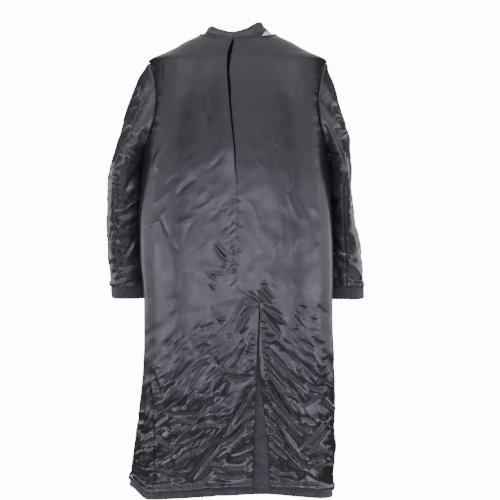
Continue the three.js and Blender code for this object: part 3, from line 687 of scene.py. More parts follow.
# Round each sleeve's outer, front and inner sides: distance round from the shoulder line towards the back,
# and z.
SLEEVE_ROUND_CREASES = [
    (7, 3.6, 1, [(-20, -150), (-60, -175), (-105, -180)]),
    (7, -3.8, 0, [(-15, -185), (-58, -205), (-110, -204)]),
    (6, 3.4, -1, [(-30, -262), (-75, -290), (-120, -286)]),
    (6, -3.6, 1, [(-24, -300), (-70, -330), (-118, -330)]),
    (6, 3.6, 0, [(-38, -352), (-82, -372), (-128, -362)]),
    (6, 3.8, 1, [(-20, -402), (-66, -424), (-116, -408)]),
    (6, -4, 0, [(-26, -428), (-74, -450), (-124, -436)]),
    (6, 3.4, -1, [(-32, -468), (-76, -486), (-120, -470)]),
    (6, -3.4, 1, [(-26, -512), (-72, -530), (-116, -520)]),
    (6, 3.6, 0, [(-22, -560), (-62, -574), (-110, -560)]),
    (6, 3, 1, [(-30, -600), (-70, -612), (-112, -604)]),
    (6, 3, 0, [(-150, -300), (-185, -318), (-205, -352)]),
    (6, -3.2, 1, [(-150, -398), (-182, -415), (-206, -450)]),
    (6, 3.2, 0, [(-146, -500), (-176, -522), (-196, -560)]),
]

# Small creases laid in by the handful: x from, to, z from, to, how many, length, half width, height,
# direction in degrees anticlockwise from +X, and how far it strays.
BACK_CRINKLES = [
    (-215, 210, -330, -70, 26, 90, 10, 0.5, 86, 16),
    (-225, -30, -520, -330, 14, 70, 8, 0.8, 55, 26),
    (30, 222, -520, -330, 8, 70, 8, 0.6, 110, 20),
    (-232, 228, -680, -520, 14, 60, 8, 0.6, 80, 40),
    (-232, 30, -830, -680, 18, 62, 6, 0.9, 52, 26),
    (66, 232, -830, -680, 16, 66, 6, 0.9, 128, 20),
    (-240, 28, -960, -830, 24, 64, 5, 1.4, 46, 26),
    (80, 236, -960, -830, 24, 74, 5, 1.4, 130, 16),
    (-250, 28, -1115, -960, 34, 58, 4.6, 1.6, 30, 32),
    (86, 236, -1115, -960, 30, 66, 4.6, 1.6, 134, 26),
]
FRONT_CRINKLES = [
    (-200, 200, -400, -150, 24, 70, 8, 0.8, 90, 30),
    (-215, 215, -700, -400, 40, 64, 7, 1, 90, 36),
    (-230, -20, -1115, -700, 60, 64, 5.5, 1.8, 52, 30),
    (20, 230, -1115, -700, 60, 64, 5.5, 1.8, 128, 30),
]
# Round the sleeve: distance round both ways from the shoulder line instead of x.
SLEEVE_CRINKLES = [
    (-210, 210, -210, -60, 14, 80, 8, 1.2, 110, 40),
    (-210, 210, -420, -210, 26, 80, 7, 1.6, 150, 24),
    (-210, 210, -650, -420, 34, 72, 6.5, 1.8, 28, 28),
]

# Puckers drawn up by a seam: x and z where the row starts and ends, spacing, length, height, lean in degrees
# and which sides they lie on.
PUCKER = 3.1  # half width
BACK_PUCKERS = [
    ((-7, -402), (-4, -640), 17, 15, -1.5, 45, (-1,)),
    ((-5, -410), (-3, -600), 27, 12, -1.3, 30, (1,)),
    ((-28, -440), (-22, -600), 31, 13, -1.2, 60, (-1,)),
    ((41, -742), (36, -845), 10.5, 8, -3, 30, (-1,)),
    ((34, -850), (34, -1110), 21, 13, -3, 44, (-1,)),
    ((59, -700), (63, -800), 12, 12, -3.4, 44, (1,)),
    ((65, -806), (72, -905), 11.5, 17, -3.8, 48, (1,)),
    ((74, -912), (84, -1100), 17, 18, -3.4, 46, (1,)),
    ((-11, -40), (-18, -200), 26, 12, -0.8, -30, (-1,)),
]


def noise(u, v, size, seed):
    """Smooth noise from -1 to 1 over a plane."""
    rng = np.random.default_rng(seed)
    turn = rng.uniform(0, 2 * math.pi, 4096)
    u, v = np.asarray(u, float) / size, np.asarray(v, float) / size
    i, j = np.floor(u).astype(int), np.floor(v).astype(int)
    fu, fv = u - i, v - j
    su, sv = fu * fu * fu * (fu * (fu * 6 - 15) + 10), fv * fv * fv * (fv * (fv * 6 - 15) + 10)

    def corner(di, dj):
        pick = turn[((i + di) * 73 + (j + dj) * 179 + (i + di) * (j + dj) * 13) % 4096]
        return np.cos(pick) * (fu - di) + np.sin(pick) * (fv - dj)

    low = corner(0, 0) * (1 - su) + corner(1, 0) * su
    high = corner(0, 1) * (1 - su) + corner(1, 1) * su
    return 1.5 * (low * (1 - sv) + high * sv)


def facets(u, v, size, seed):
    """Crumpled cloth: flat facets that meet in soft ridges, about 0 on average."""
    warp = 0.35 * size
    a = u + warp * noise(u, v, size * 1.3, seed + 1)
    b = v + warp * noise(u, v, size * 1.3, seed + 2)
    large = np.sqrt(noise(a, b, size, seed + 3) ** 2 + 0.004)
    small = np.sqrt(noise(a, b, size * 0.47, seed + 4) ** 2 + 0.004)
    return 0.45 - large - 0.3 * small


def folds(u, v, size, lean, seed, stretch=3.0, soft=0.006):
    """Long folds at lean degrees, some with a ridge, crisper the less soft is; about 0 on average."""
    c, s = math.cos(math.radians(lean)), math.sin(math.radians(lean))
    along = (u * c + v * s) / stretch + 0.30 * size * noise(u, v, size * 1.7, seed + 1)
    across = v * c - u * s + 0.55 * size * noise(u, v, size * 1.7, seed + 2)
    broad = noise(along, across, size, seed + 3)
    crisp = 0.36 - np.sqrt(noise(along * 1.2, across, size * 0.8, seed + 4) ** 2 + soft)
    fine = noise(along * 1.5, across, size * 0.42, seed + 5)
    return 0.75 * broad + 0.6 * crisp + 0.22 * fine


def press(height, x, z, creases, gain=1.0, narrow=1.0):
    """Adds creases to height at the points x, z."""
    for half, lift, flank, points in creases:
        half = half * narrow
        points = np.asarray(points, float)
        knots = running_length(points)
        count = max(3, int(knots[-1] / max(4, half)) + 1)
        path = spline(knots, points, level=False)(np.linspace(0, knots[-1], count))
        low, high = path.min(axis=0) - 4 * half, path.max(axis=0) + 4 * half
        near = np.flatnonzero((x > low[0]) & (x < high[0]) & (z > low[1]) & (z < high[1]))
        if not len(near):
            continue
        spot = np.stack([x[near], z[near]], axis=1)[:, None]
        start, run = path[:-1], np.diff(path, axis=0)
        t = np.clip(((spot - start) * run).sum(axis=2) / (run * run).sum(axis=1), 0, 1)
        away = spot - start - t[..., None] * run
        gap = (away * away).sum(axis=2)
        k = gap.argmin(axis=1)
        pick = np.arange(len(near))
        hand = np.sign(run[k, 0] * away[pick, k, 1] - run[k, 1] * away[pick, k, 0])
        share = (k + t[pick, k]) / (count - 1)
        s = np.sqrt(gap[pick, k]) / (half * (0.75 + 0.45 * share)) * hand
        taper = 1 - np.where(share < 0.45, 1 - share / 0.45, (share - 0.45) / 0.55) ** 2.4
        shape = 0.72 * np.exp(-((s / 0.6) ** 2)) + 0.28 * np.exp(-((s / 1.4) ** 2))
        if flank:
            shape = shape - 0.5 * np.exp(-(((s - 1.7 * flank) / 1.3) ** 2))
        height[near] += gain * lift * np.maximum(taper, 0) * shape


def handful(areas, seed):
    """Small creases scattered over areas, as rows of a crease table."""
    rng = np.random.default_rng(seed)
    made = []
    for x0, x1, z0, z1, count, length, half, lift, turn, stray in areas:
        for _ in range(count):
            middle = np.array([rng.uniform(x0, x1), rng.uniform(z0, z1)])
            way = math.radians(turn + stray * rng.normal() * 0.6)
            reach = length * rng.uniform(0.35, 1.3) / 2
            along = np.array([math.cos(way), math.sin(way)]) * reach
            bend = np.array([-along[1], along[0]]) * rng.uniform(-0.3, 0.3)
            width = half * rng.uniform(0.7, 1.5)
            tall = lift * rng.uniform(0.4, 1.3) * rng.choice([-1, 1])
            line = [middle - along, middle + bend, middle + along]
            made.append((width, tall, rng.choice([-1, 0, 1]), line))
    return made


def pucker_rows(rows, seed):
    """Short creases side by side along seams, as rows of a crease table."""
    rng = np.random.default_rng(seed)
    made = []
    for start, end, spacing, length, lift, lean, sides in rows:
        start, end = np.array(start, float), np.array(end, float)
        run = np.linalg.norm(end - start)
        way = (end - start) / run
        across = np.array([-way[1], way[0]])
        if across[0] < 0:
            across = -across
        for hand in sides:
            place = rng.uniform(0, spacing)
            while place < run:
                root = start + way * place
                slope = math.tan(math.radians(lean * rng.uniform(0.5, 1.4)))
                reach = length * rng.uniform(0.5, 1.3)
                fall = -abs(slope) * reach * (1 if lean > 0 else -1)
                tip = root + hand * across * reach + np.array([0, fall])
                line = [root - hand * across * 2, (root + tip) / 2, tip]
                made.append((PUCKER * rng.uniform(0.8, 1.3), lift * rng.uniform(0.5, 1.25), 0, line))
                place += spacing * rng.uniform(0.6, 1.5)
    return made


def seam_puckers(along, away, spacing, reach, lift, seed):
    """Short waves beside a seam, nothing on the seam itself: along it and away from it in millimetres."""
    wave = noise(along, along * 0 + seed * 3.7, spacing, seed)
    ripple = noise(along, away * 0.4, spacing * 0.55, seed + 5)
    return lift * (wave + 0.5 * ripple) * np.exp(-away / reach) * (1 - np.exp(-away / 2.5))

# ---------------------------------------------------------------- finishes

FLOAT, VECTOR, COLOUR = "NodeSocketFloat", "NodeSocketVector", "NodeSocketColor"


def calc(tree, operation, *values):
    return tree_node(tree, "ShaderNodeMath", dict(enumerate(values)), operation=operation).outputs[0]


def calc_vector(tree, operation, *values):
    return tree_node(tree, "ShaderNodeVectorMath", dict(enumerate(values)), operation=operation).outputs[0]


def clouds(tree, place, scale, detail, **inputs):
    inputs = {"Vector": place, "Scale": scale, "Detail": detail, **inputs}
    return tree_node(tree, "ShaderNodeTexNoise", inputs).outputs["Fac"]


def ranged(tree, value, low, high, to_low=0.0, to_high=1.0, **settings):
    inputs = {"Value": value, "From Min": low, "From Max": high, "To Min": to_low, "To Max": to_high}
    return tree_node(tree, "ShaderNodeMapRange", inputs, **settings).outputs[0]


def mix_colour(tree, factor, first, second):
    inputs = {"Factor": factor, "A": first, "B": second}
    return tree_node(tree, "ShaderNodeMix", inputs, data_type="RGBA").outputs["Result"]


def bumped(tree, height, strength, distance, **inputs):
    inputs = {"Height": height, "Strength": strength, "Distance": distance, **inputs}
    return tree_node(tree, "ShaderNodeBump", inputs).outputs["Normal"]


def placed(tree, group, **inputs):
    """A shared effect with this finish's own values."""
    return tree_node(tree, "ShaderNodeGroup", inputs, node_tree=group).outputs


def cloth_map(tree):
    return tree_node(tree, "ShaderNodeUVMap", uv_map="cloth").outputs["UV"]


def object_place(tree):
    return tree_node(tree, "ShaderNodeTexCoord").outputs["Object"]


def effect(name, given, made):
    """An empty shader group with named inputs and outputs: the group, its inputs and its outputs."""
    group = bpy.data.node_groups.new(name, "ShaderNodeTree")
    for label, kind, value in given:
        socket = group.interface.new_socket(label, in_out="INPUT", socket_type=kind)
        if value is not None:
            socket.default_value = value
    for label, kind in made:
        group.interface.new_socket(label, in_out="OUTPUT", socket_type=kind)
    return group, group.nodes.new("NodeGroupInput").outputs, group.nodes.new("NodeGroupOutput")


def thread_relief():
    """Threads crossing on the cloth's own map, with slubs: height and a mask of the raised threads."""
    inputs = [("Map", VECTOR, None), ("Across", FLOAT, 500.0), ("Along", FLOAT, 500.0), ("Slub", FLOAT, 0.3)]
    group, given, out = effect("thread_relief", inputs, [("Height", FLOAT), ("Raised", FLOAT)])
    lengthwise = calc_vector(group, "MULTIPLY", given["Map"], (1.0, 0.05, 1.0))
    crosswise = calc_vector(group, "MULTIPLY", given["Map"], (0.05, 1.0, 1.0))
    warp = clouds(group, lengthwise, given["Across"], 2.0, Roughness=0.6)
    weft = clouds(group, crosswise, given["Along"], 2.0, Roughness=0.6)
    slub = clouds(group, given["Map"], 260.0, 3.0)
    raised = calc(group, "MAXIMUM", warp, weft)
    height = calc(group, "ADD", raised, calc(group, "MULTIPLY", slub, given["Slub"]))
    feed(group, out, {"Height": height, "Raised": raised})
    return group


def heather_fleck():
    """Flecks of lighter and darker fibre: a colour and a height."""
    inputs = [
        ("Place", VECTOR, None),
        ("Dark", COLOUR, (0.02, 0.02, 0.02, 1)),
        ("Light", COLOUR, (0.1, 0.1, 0.1, 1)),
        ("Fineness", FLOAT, 500.0),
    ]
    group, given, out = effect("heather_fleck", inputs, [("Color", COLOUR), ("Height", FLOAT)])
    fine = clouds(group, given["Place"], given["Fineness"], 4.0, Roughness=0.65)
    broad = clouds(group, given["Place"], 60.0, 3.0)
    flecks = calc(group, "ADD", fine, calc(group, "MULTIPLY_ADD", broad, 0.35, 0.0))
    colour = mix_colour(group, ranged(group, flecks, 0.48, 0.88), given["Dark"], given["Light"])
    feed(group, out, {"Color": colour, "Height": fine})
    return group


def fine_creases():
    """Thin broken creases that lean one way: a height."""
    inputs = [("Place", VECTOR, None), ("Lean", FLOAT, 0.8), ("Fineness", FLOAT, 40.0)]
    group, given, out = effect("fine_creases", inputs, [("Height", FLOAT)])
    inputs = {"Vector": given["Place"], "Angle": given["Lean"]}
    turned = tree_node(group, "ShaderNodeVectorRotate", inputs, rotation_type="Y_AXIS").outputs[0]
    drawn = calc_vector(group, "MULTIPLY", turned, (0.2, 1.0, 1.0))
    lines = clouds(group, drawn, given["Fineness"], 1.0, Distortion=0.5)
    away = calc(group, "ABSOLUTE", calc(group, "SUBTRACT", lines, 0.5))
    ridge = ranged(group, away, 0.0, 0.07, 1.0, 0.0, interpolation_type="SMOOTHSTEP")
    here_and_there = ranged(group, clouds(group, drawn, 13.0, 1.0), 0.47, 0.62)
    feed(group, out, {"Height": calc(group, "MULTIPLY", ridge, here_and_there)})
    return group


def satin_finish(name, dull, bright, rough, lean, low_z, high_z, least):
    """Lining satin: slate grey, a soft sheen broken up by its threads and by faint clouds in the dye.

    Fine creases are drawn in full below low_z and fade to the share least at high_z, in metres.
    """
    material, tree, shader = new_finish(name)
    place = object_place(tree)
    threads = placed(tree, THREADS, Map=cloth_map(tree), Across=520, Along=700, Slub=0.5)
    colour = mix_colour(tree, clouds(tree, place, 9.0, 4.0, Roughness=0.55), (*dull, 1), (*bright, 1))
    sheen = ranged(tree, clouds(tree, place, 34.0, 2.0), 0.3, 0.7, rough - 0.04, rough + 0.05)
    spot = tree_node(tree, "ShaderNodeSeparateXYZ", {"Vector": place}).outputs
    rubbed = ranged(tree, spot["Z"], -1.00, -0.80, 0.0, 0.068)  # a little duller above the skirt
    # the fine creases lean away from the vent on both sides
    from_vent = calc(tree, "ABSOLUTE", calc(tree, "SUBTRACT", spot["X"], 0.045))
    inputs = {"X": from_vent, "Y": spot["Y"], "Z": spot["Z"]}
    mirrored = tree_node(tree, "ShaderNodeCombineXYZ", inputs).outputs[0]
    creases = placed(tree, CREASES, Place=mirrored, Lean=lean)
    amount = ranged(tree, spot["Z"], low_z, high_z, 1.0, least)
    woven = bumped(tree, threads["Height"], 0.07, 0.0002)
    creased = bumped(tree, calc(tree, "MULTIPLY", creases["Height"], amount), 0.7, 0.0016, Normal=woven)
    feed(tree, shader, {
        "Base Color": colour, "Roughness": calc(tree, "ADD", sheen, rubbed), "Normal": creased,
        "Specular IOR Level": 0.95, "Sheen Weight": 0.04, "Sheen Roughness": 0.35,
        "Coat Weight": 0.12, "Coat Roughness": 0.18,
    })
    return material


def wool_finish(name, dark, light, fineness):
    """Heather-grey wool: matt, flecked, with a short nap."""
    material, tree, shader = new_finish(name)
    place = object_place(tree)
    flecks = placed(tree, FLECKS, Place=place, Dark=(*dark, 1), Light=(*light, 1), Fineness=fineness)
    threads = placed(tree, THREADS, Map=cloth_map(tree), Across=240, Along=240, Slub=1.2)
    nap = bumped(tree, calc(tree, "ADD", flecks["Height"], threads["Height"]), 0.5, 0.0006)
    feed(tree, shader, {
        "Base Color": flecks["Color"], "Normal": nap, "Roughness": 0.92,
        "Specular IOR Level": 0.3, "Sheen Weight": 0.3, "Sheen Roughness": 0.6,
    })
    return material


def tape_finish(name, dark, light):
    """Off-white woven tape."""
    material, tree, shader = new_finish(name)
    threads = placed(tree, THREADS, Map=cloth_map(tree), Across=420, Along=300)
    colour = mix_colour(tree, threads["Raised"], (*dark, 1), (*light, 1))
    woven = bumped(tree, threads["Height"], 0.3, 0.0003)
    feed(tree, shader, {"Base Color": colour, "Normal": woven, "Roughness": 0.75})
    return material


def thread_finish(name, dark, light):
    """Dark waxed sewing thread with a twist."""
    material, tree, shader = new_finish(name)
    inputs = {"Vector": object_place(tree), "Scale": 900.0}
    ply = tree_node(tree, "ShaderNodeTexWave", inputs, bands_direction="DIAGONAL").outputs["Fac"]
    colour = mix_colour(tree, ply, (*dark, 1), (*light, 1))
    feed(tree, shader, {"Base Color": colour, "Normal": bumped(tree, ply, 0.3, 0.0001), "Roughness": 0.45})
    return material


THREADS = thread_relief()
FLECKS = heather_fleck()
CREASES = fine_creases()
BODY_SATIN = satin_finish(
    "slate_satin", (0.016, 0.015, 0.019), (0.024, 0.023, 0.028), 0.235, -0.85, -0.95, -0.66, 0.0
)
# The sleeves' lining is the body's satin with its colour raised about twofold: painted light that stands in
# for the lamp light and sheen the sleeves don't catch.
SLEEVE_SATIN_PAINTED_BRIGHTER = satin_finish(
    "sleeve_satin_painted_brighter", (0.033, 0.033, 0.040), (0.056, 0.055, 0.065), 0.225, -0.5, -0.5, -0.1, 0.3
)
HEATHER_WOOL = wool_finish("heather_wool", (0.023, 0.022, 0.026), (0.112, 0.104, 0.122), 420)
WHITE_TAPE = tape_finish("white_tape", (0.82, 0.81, 0.79), (0.93, 0.92, 0.90))
SEWING_THREAD = thread_finish("sewing_thread", (0.010, 0.010, 0.012), (0.03, 0.029, 0.034))

# ---------------------------------------------------------------- making a piece

MM = 1000  # in a metre

# A cloth: its thickness, its finish and its slot.
LINING = (SATIN, BODY_SATIN, "satin")
SLEEVE_LINING = (SATIN, SLEEVE_SATIN_PAINTED_BRIGHTER, "satin")
SHELL = (SHELL_WOOL, HEATHER_WOOL, "wool")
WOOL_TURNUP = (TURNUP_WOOL, HEATHER_WOOL, "wool")
COLLAR_CLOTH = (COLLAR_WOOL, HEATHER_WOOL, "wool")
LABEL_TAPE = (TAPE, WHITE_TAPE, "tape")


def wall_faces(rows, columns, ring):
    """Corner numbers of a closed wall's faces, whose inner face's points follow all of its outer face's."""
    far = rows * columns
    spans = columns if ring else columns - 1
    row, column = np.meshgrid(np.arange(rows - 1), np.arange(spans), indexing="ij")
    low, low_next = row * columns + column, row * columns + (column + 1) % columns
    high, high_next = low + columns, low_next + columns
    outer = np.stack([low, low_next, high_next, high], axis=-1).reshape(-1, 4)
    inner = np.stack([low, high, high_next, low_next], axis=-1).reshape(-1, 4) + far
    line = np.arange(spans)
    after = (line + 1) % columns
    top = (rows - 1) * columns
    rims = [
        np.stack([line + far, after + far, after, line], axis=1),
        np.stack([top + line, top + after, top + after + far, top + line + far], axis=1),
    ]
    if not ring:
        edge = np.arange(rows - 1) * columns
        rims.append(np.stack([edge, edge + columns, edge + columns + far, edge + far], axis=1))
        edge = edge + spans
        rims.append(np.stack([edge, edge + far, edge + columns + far, edge + columns], axis=1))
    return np.concatenate([outer, inner, *rims])


def ridden(name, mesh):
    """A finished piece, at the origin like the part's own."""
    piece = link_object(name, mesh)
    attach(piece, "root")
    return piece


def wall(name, face, cloth, turn, ring=False):
    """A thin closed wall whose outer face is a grid of points in millimetres, with its map in metres."""
    thickness, finish, slot = cloth
    inner = face - grid_normals(face, turn, ring) * thickness
    points = np.concatenate([face.reshape(-1, 3), inner.reshape(-1, 3)])
    faces = wall_faces(*face.shape[:2], ring)
    p = points[faces]
    volume = np.einsum("ij,ij->i", p[:, 0], np.cross(p[:, 1], p[:, 2]) + np.cross(p[:, 2], p[:, 3])).sum()
    if volume < 0:
        faces = faces[:, ::-1]
    across = np.linalg.norm(np.diff(face, axis=1), axis=2).mean(axis=0)
    u = np.concatenate([[0], np.cumsum(across)]) / MM
    v = mean_gaps(face) / MM
    flat = np.stack(np.meshgrid(u, v), axis=-1).reshape(-1, 2)
    mesh = bpy.data.meshes.new(name)
    mesh.vertices.add(len(points))
    mesh.vertices.foreach_set("co", (points / MM).astype(np.float32).ravel())
    mesh.loops.add(faces.size)
    mesh.loops.foreach_set("vertex_index", faces.astype(np.int32).ravel())
    mesh.polygons.add(len(faces))
    mesh.polygons.foreach_set("loop_start", np.arange(0, faces.size, 4, dtype=np.int32))
    mesh.polygons.foreach_set("loop_total", np.full(len(faces), 4, dtype=np.int32))
    mesh.polygons.foreach_set("use_smooth", np.ones(len(faces), dtype=bool))
    cloth_uv = mesh.uv_layers.new(name="cloth")
    cloth_uv.data.foreach_set("uv", np.concatenate([flat, flat])[faces.ravel()].astype(np.float32).ravel())
    mesh.update(calc_edges=True)
    mesh.validate()
    mesh.materials.append(finish)
    return ridden(name, mesh)


def declare(node):
    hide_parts(node)


# ---------------------------------------------------------------- laying cloth on the form

# Edges: distance in from the edge and lift of the cloth there.
GROOVE = [(0, -1.9), (0.8, -1.25), (2, -0.5), (3.8, -0.1), (6.2, 0)]
TURNED = [(6, -1.7), (1.6, -1.7), (0.3, -1.45), (-0.45, -0.8), (0.3, -0.2), (1.5, 0), (3.6, 0), (6.2, 0)]
PLAIN = [(0, 0), (3, 0)]
SEWN_IN = [(0.2, 0), (6, 0)]
BACK_TURNUP_EDGE = [(4, -1.9), (0.6, -1.9), (-0.5, -0.9), (0.6, 0), (3, 0)]
STRIP_EDGE = [(5, -2), (0.8, -2), (-0.4, -1), (0.8, 0), (3, 0)]
FACING_EDGE = [(6, -3.2), (1, -3.2), (-0.8, -2.2), (-0.8, -1.0), (0.8, 0), (3, 0)]
FACING_HEM = [(6, -3.2), (1.4, -3.2), (0, -2.2), (0, -1.0), (1.2, 0), (3, 0)]
STITCHED = 6  # the row or column of a turned edge that the stitches run along
VENT_STITCHES_TOP = -705
# The hem turn-up from its sewn edge, down over the fold: height above the hem and stand off the shell.
TURNUP_PROFILE = [
    (TURNUP + 3, 0.4), (TURNUP, 1.2), (TURNUP - 3, 1.9), (19, 2.3), (15, 2.4), (11, 2.4), (7, 2.5),
    (4, 2.4), (2, 2.0), (0.7, 1.2), (0.1, 0.1), (0.4, -1.2), (1.6, -2.2),
]
# The vent strip's own hem: height above the hem, and drop.
STRIP_HEM = np.array([(1.2, -3.6), (0.4, -2.6), (0.0, -1.4), (0.6, -0.5), (1.8, -0.1), (4, 0)])

# Distances between the points of each piece.
LINING_STEP = {LEFT: 2.75, RIGHT: 2.55}
UPPER_BACK_STEP = 0.75  # the back lining's rows are wider apart by this much above the waist
FRONT_LINING_STEP, FACING_STEP, SLEEVE_LINING_STEP = 4.2, 5, 3.0
SHELL_STEP, SLEEVE_SHELL_STEP, HEM_STEP, STRIP_STEP, CUFF_STEP, COLLAR_STEP = 8, 9, 4, 3, 3.4, 2.6
WAIST_Z = -600
NECK_ROWS = np.array([0.28, 0.2, 0.13, 0.08, 0.04, 0.015, 0])  # the last rows, before the neck

# The hollow at the mouth of the centre-back pleat: z, its width beside the fold, its depth.
PLEAT_MOUTH = np.array(
    [
        (-395, 0.5, 0), (-360, 2, 2.5), (-250, 3, 4.5), (-175, 4, 6), (-158, 8, 8), (-138, 7, 9),
        (-118, 5, 7), (-100, 7, 9), (-80, 9, 10), (-58, 9, 10), (-44, 6, 7), (-30, 3, 5), (-20, 2, 3),
    ],
    float,
)
# How crumpled the lining is by height: z, height of the large folds, height of the small facets.
CRUMPLE = np.array(
    [
        (-1160, 6.2, 0.5), (-1000, 5.6, 0.4), (-900, 3.3, 0.2), (-760, 2.2, 0.1), (-640, 1.3, 0.08),
        (-420, 1.2, 0.06), (-250, 0.8, 0.05), (0, 0.4, 0.04),
    ]
)
# Drawn creases by the height of their first point: above, up to, gain and narrowing. They are soft over the
# back, slight over the seat and sharp over the skirt.
CREASE_BANDS = [(-530, 0, 0.8, 1.0), (-800, -530, 0.75, 0.85), (-9999, -800, 1.3, 0.85)]
LEAN = 50  # degrees that the skirt's folds lean, down and away from the centre
# Seeds of each kind of random draw.
BACK_SCATTER, BACK_PUCKER_DRAW, FRONT_SCATTER, SLEEVE_SCATTER = 11, 12, 21, {LEFT: 31, RIGHT: 32}
BACK_FOLDS, BACK_PUFF, FRONT_PUFF, SLEEVE_PUFF, FRONT_FOLDS = 40, 50, 52, 53, 80
STITCH_SEED = 7
BACK_SMALL = handful(BACK_CRINKLES, BACK_SCATTER) + pucker_rows(BACK_PUCKERS, BACK_PUCKER_DRAW)
FRONT_SMALL = handful(FRONT_CRINKLES, FRONT_SCATTER)
SLEEVE_SMALL = {side: handful(SLEEVE_CRINKLES, seed) for side, seed in SLEEVE_SCATTER.items()}


def bell(value, middle, width):
    """One at middle, fading away on both sides of it."""
    return np.exp(-(((value - middle) / width) ** 2))


def along_table(table, z, column):
    return np.interp(z, table[:, 0], table[:, column])


def spread(lengths, first, last, step):
    """Distances along each row of a panel and each column's lift, from the edges' own tables."""
    first, last = np.array(first, float), np.array(last, float)[::-1]
    count = max(1, int((lengths.mean() - first[-1, 0] - last[0, 0]) / step))
    share = np.linspace(0, 1, count + 2)[1:-1]
    near = np.broadcast_to(first[:, 0], (len(lengths), len(first)))
    far = lengths[:, None] - last[:, 0]
    middle = first[-1, 0] + (far[:, :1] - first[-1, 0]) * share
    lift = np.concatenate([first[:, 1], np.zeros(count), last[:, 1]])
    return np.concatenate([near, middle, far], axis=1), lift


def laid_out(lattice, side, lengths, first, last, step):
    """Cloth on a lattice: its points, their normals, their distances along their row, and their lift."""
    gap, lift = spread(lengths, first, last, step)
    points, outward = lay(lattice, grid_normals(lattice, side), gap)
    return points, outward, gap, lift


def panel_rows(side, edge_z, edge, step, upper_step, front=False):
    """Fractional rows from an edge at edge_z up to the neck, and each row's lift."""
    edge = np.array(edge, float)
    low = row_at(edge_z + edge[:, 0])
    waist = row_at(WAIST_Z)
    below = rows_by_length(side, low[-1], waist, step, front)[1:]
    above = rows_by_length(side, waist, NECK, upper_step, front)[1:]
    rest = np.concatenate([below, above])
    rest = np.concatenate([rest[rest < NECK - 0.3], NECK - NECK_ROWS])
    return np.concatenate([low, rest]), np.concatenate([edge[:, 1], np.zeros(len(rest))])


def from_top(points):
    """Distance of each grid point from the top row, along its column."""
    steps = np.linalg.norm(np.diff(points, axis=0), axis=2)
    return np.concatenate([np.cumsum(steps[::-1], axis=0)[::-1], np.zeros((1, points.shape[1]))])


def crumpled(u, z, lean, seed):
    """Folds that lean over the skirt, flatter towards the hem's outer corner, and are upright on the back."""
    soft = 0.006 + 0.034 * smooth(-960, -800, z)
    skirt = folds(u, z, 52, lean, seed, soft=soft)
    corner = folds(u, z, 46, lean * 0.3, seed + 20)
    upright = folds(u, z, 74, 90 - lean * 0.1, seed + 40, 2.2, soft)
    low = smooth(-560, -760, z)
    out = smooth(40, 190, np.abs(u)) * smooth(-930, -1050, z) * 0.75
    large = (skirt * (1 - out) + corner * out) * low + upright * (1 - low)
    small = facets(u, z, 40, seed + 9) * along_table(CRUMPLE, z, 2)
    return large * along_table(CRUMPLE, z, 1) + small


def lining_relief(points, creases, small, lean, seam_gap, hem_gap, seed):
    """Height of all the creases of a body panel; none on its side seam or armhole."""
    x, z = points[..., 0].ravel(), points[..., 2].ravel()
    seam_gap, hem_gap = seam_gap.ravel(), hem_gap.ravel()
    height = crumpled(x, z, lean, seed)
    press(height, x, z, small)
    height *= smooth(-1, 9, seam_gap) * smooth(-2, 26, hem_gap)
    for low_z, high_z, gain, narrow in CREASE_BANDS:
        band = [row for row in creases if low_z < row[3][0][1] <= high_z]
        press(height, x, z, band, gain, narrow)
    height *= smooth(-0.5, 5, seam_gap)
    height += seam_puckers(z, np.abs(seam_gap), 15, 14, 2.6, seed)
    return height.reshape(points.shape[:2])


def hem_puff(hem_gap, x, seed):
    """The lining hangs a little over the turn-up, in uneven puffs."""
    uneven = 1 + 0.5 * noise(x, x * 0, 46, seed) + 0.3 * noise(x, x * 0, 17, seed + 1)
    return 5.2 * uneven * bell(hem_gap, 8, 7.0) + 2.2 * bell(hem_gap, 2.5, 3)


def neck_rim(top_gap):
    """A raised rim just below the neck seam, which is drawn in."""
    return 3.0 * bell(top_gap, 7, 3.4) - 6.0 * bell(top_gap, 0, 3.0)


def lap_lift(rows, gap, over, height):
    """Rise of the left back where it laps over the right: high at the edge, none past the lap."""
    vent = smooth(VENT_SEAM_TOP - 0.2, VENT_TOP, rows)[:, None]
    near = 2 + vent * (over[:, None] + 12 - 2)
    far = 62 + vent * (over[:, None] + 70 - 62)
    return height[:, None] * (1 - smooth(0, 1, (gap - near) / (far - near)))


def vent_rise(rows):
    return VENT_LIFT * CENTRE["lap"](rows) * (1 - smooth(VENT_TOP - 1.1, VENT_TOP + 0.6, rows))


def back_form(side, rows):
    """Lattice of a back panel from its centre-back edge."""
    return back_lattice(side, rows, CENTRE["over" if side == LEFT else "under"](rows))


# ---------------------------------------------------------------- the body's pieces


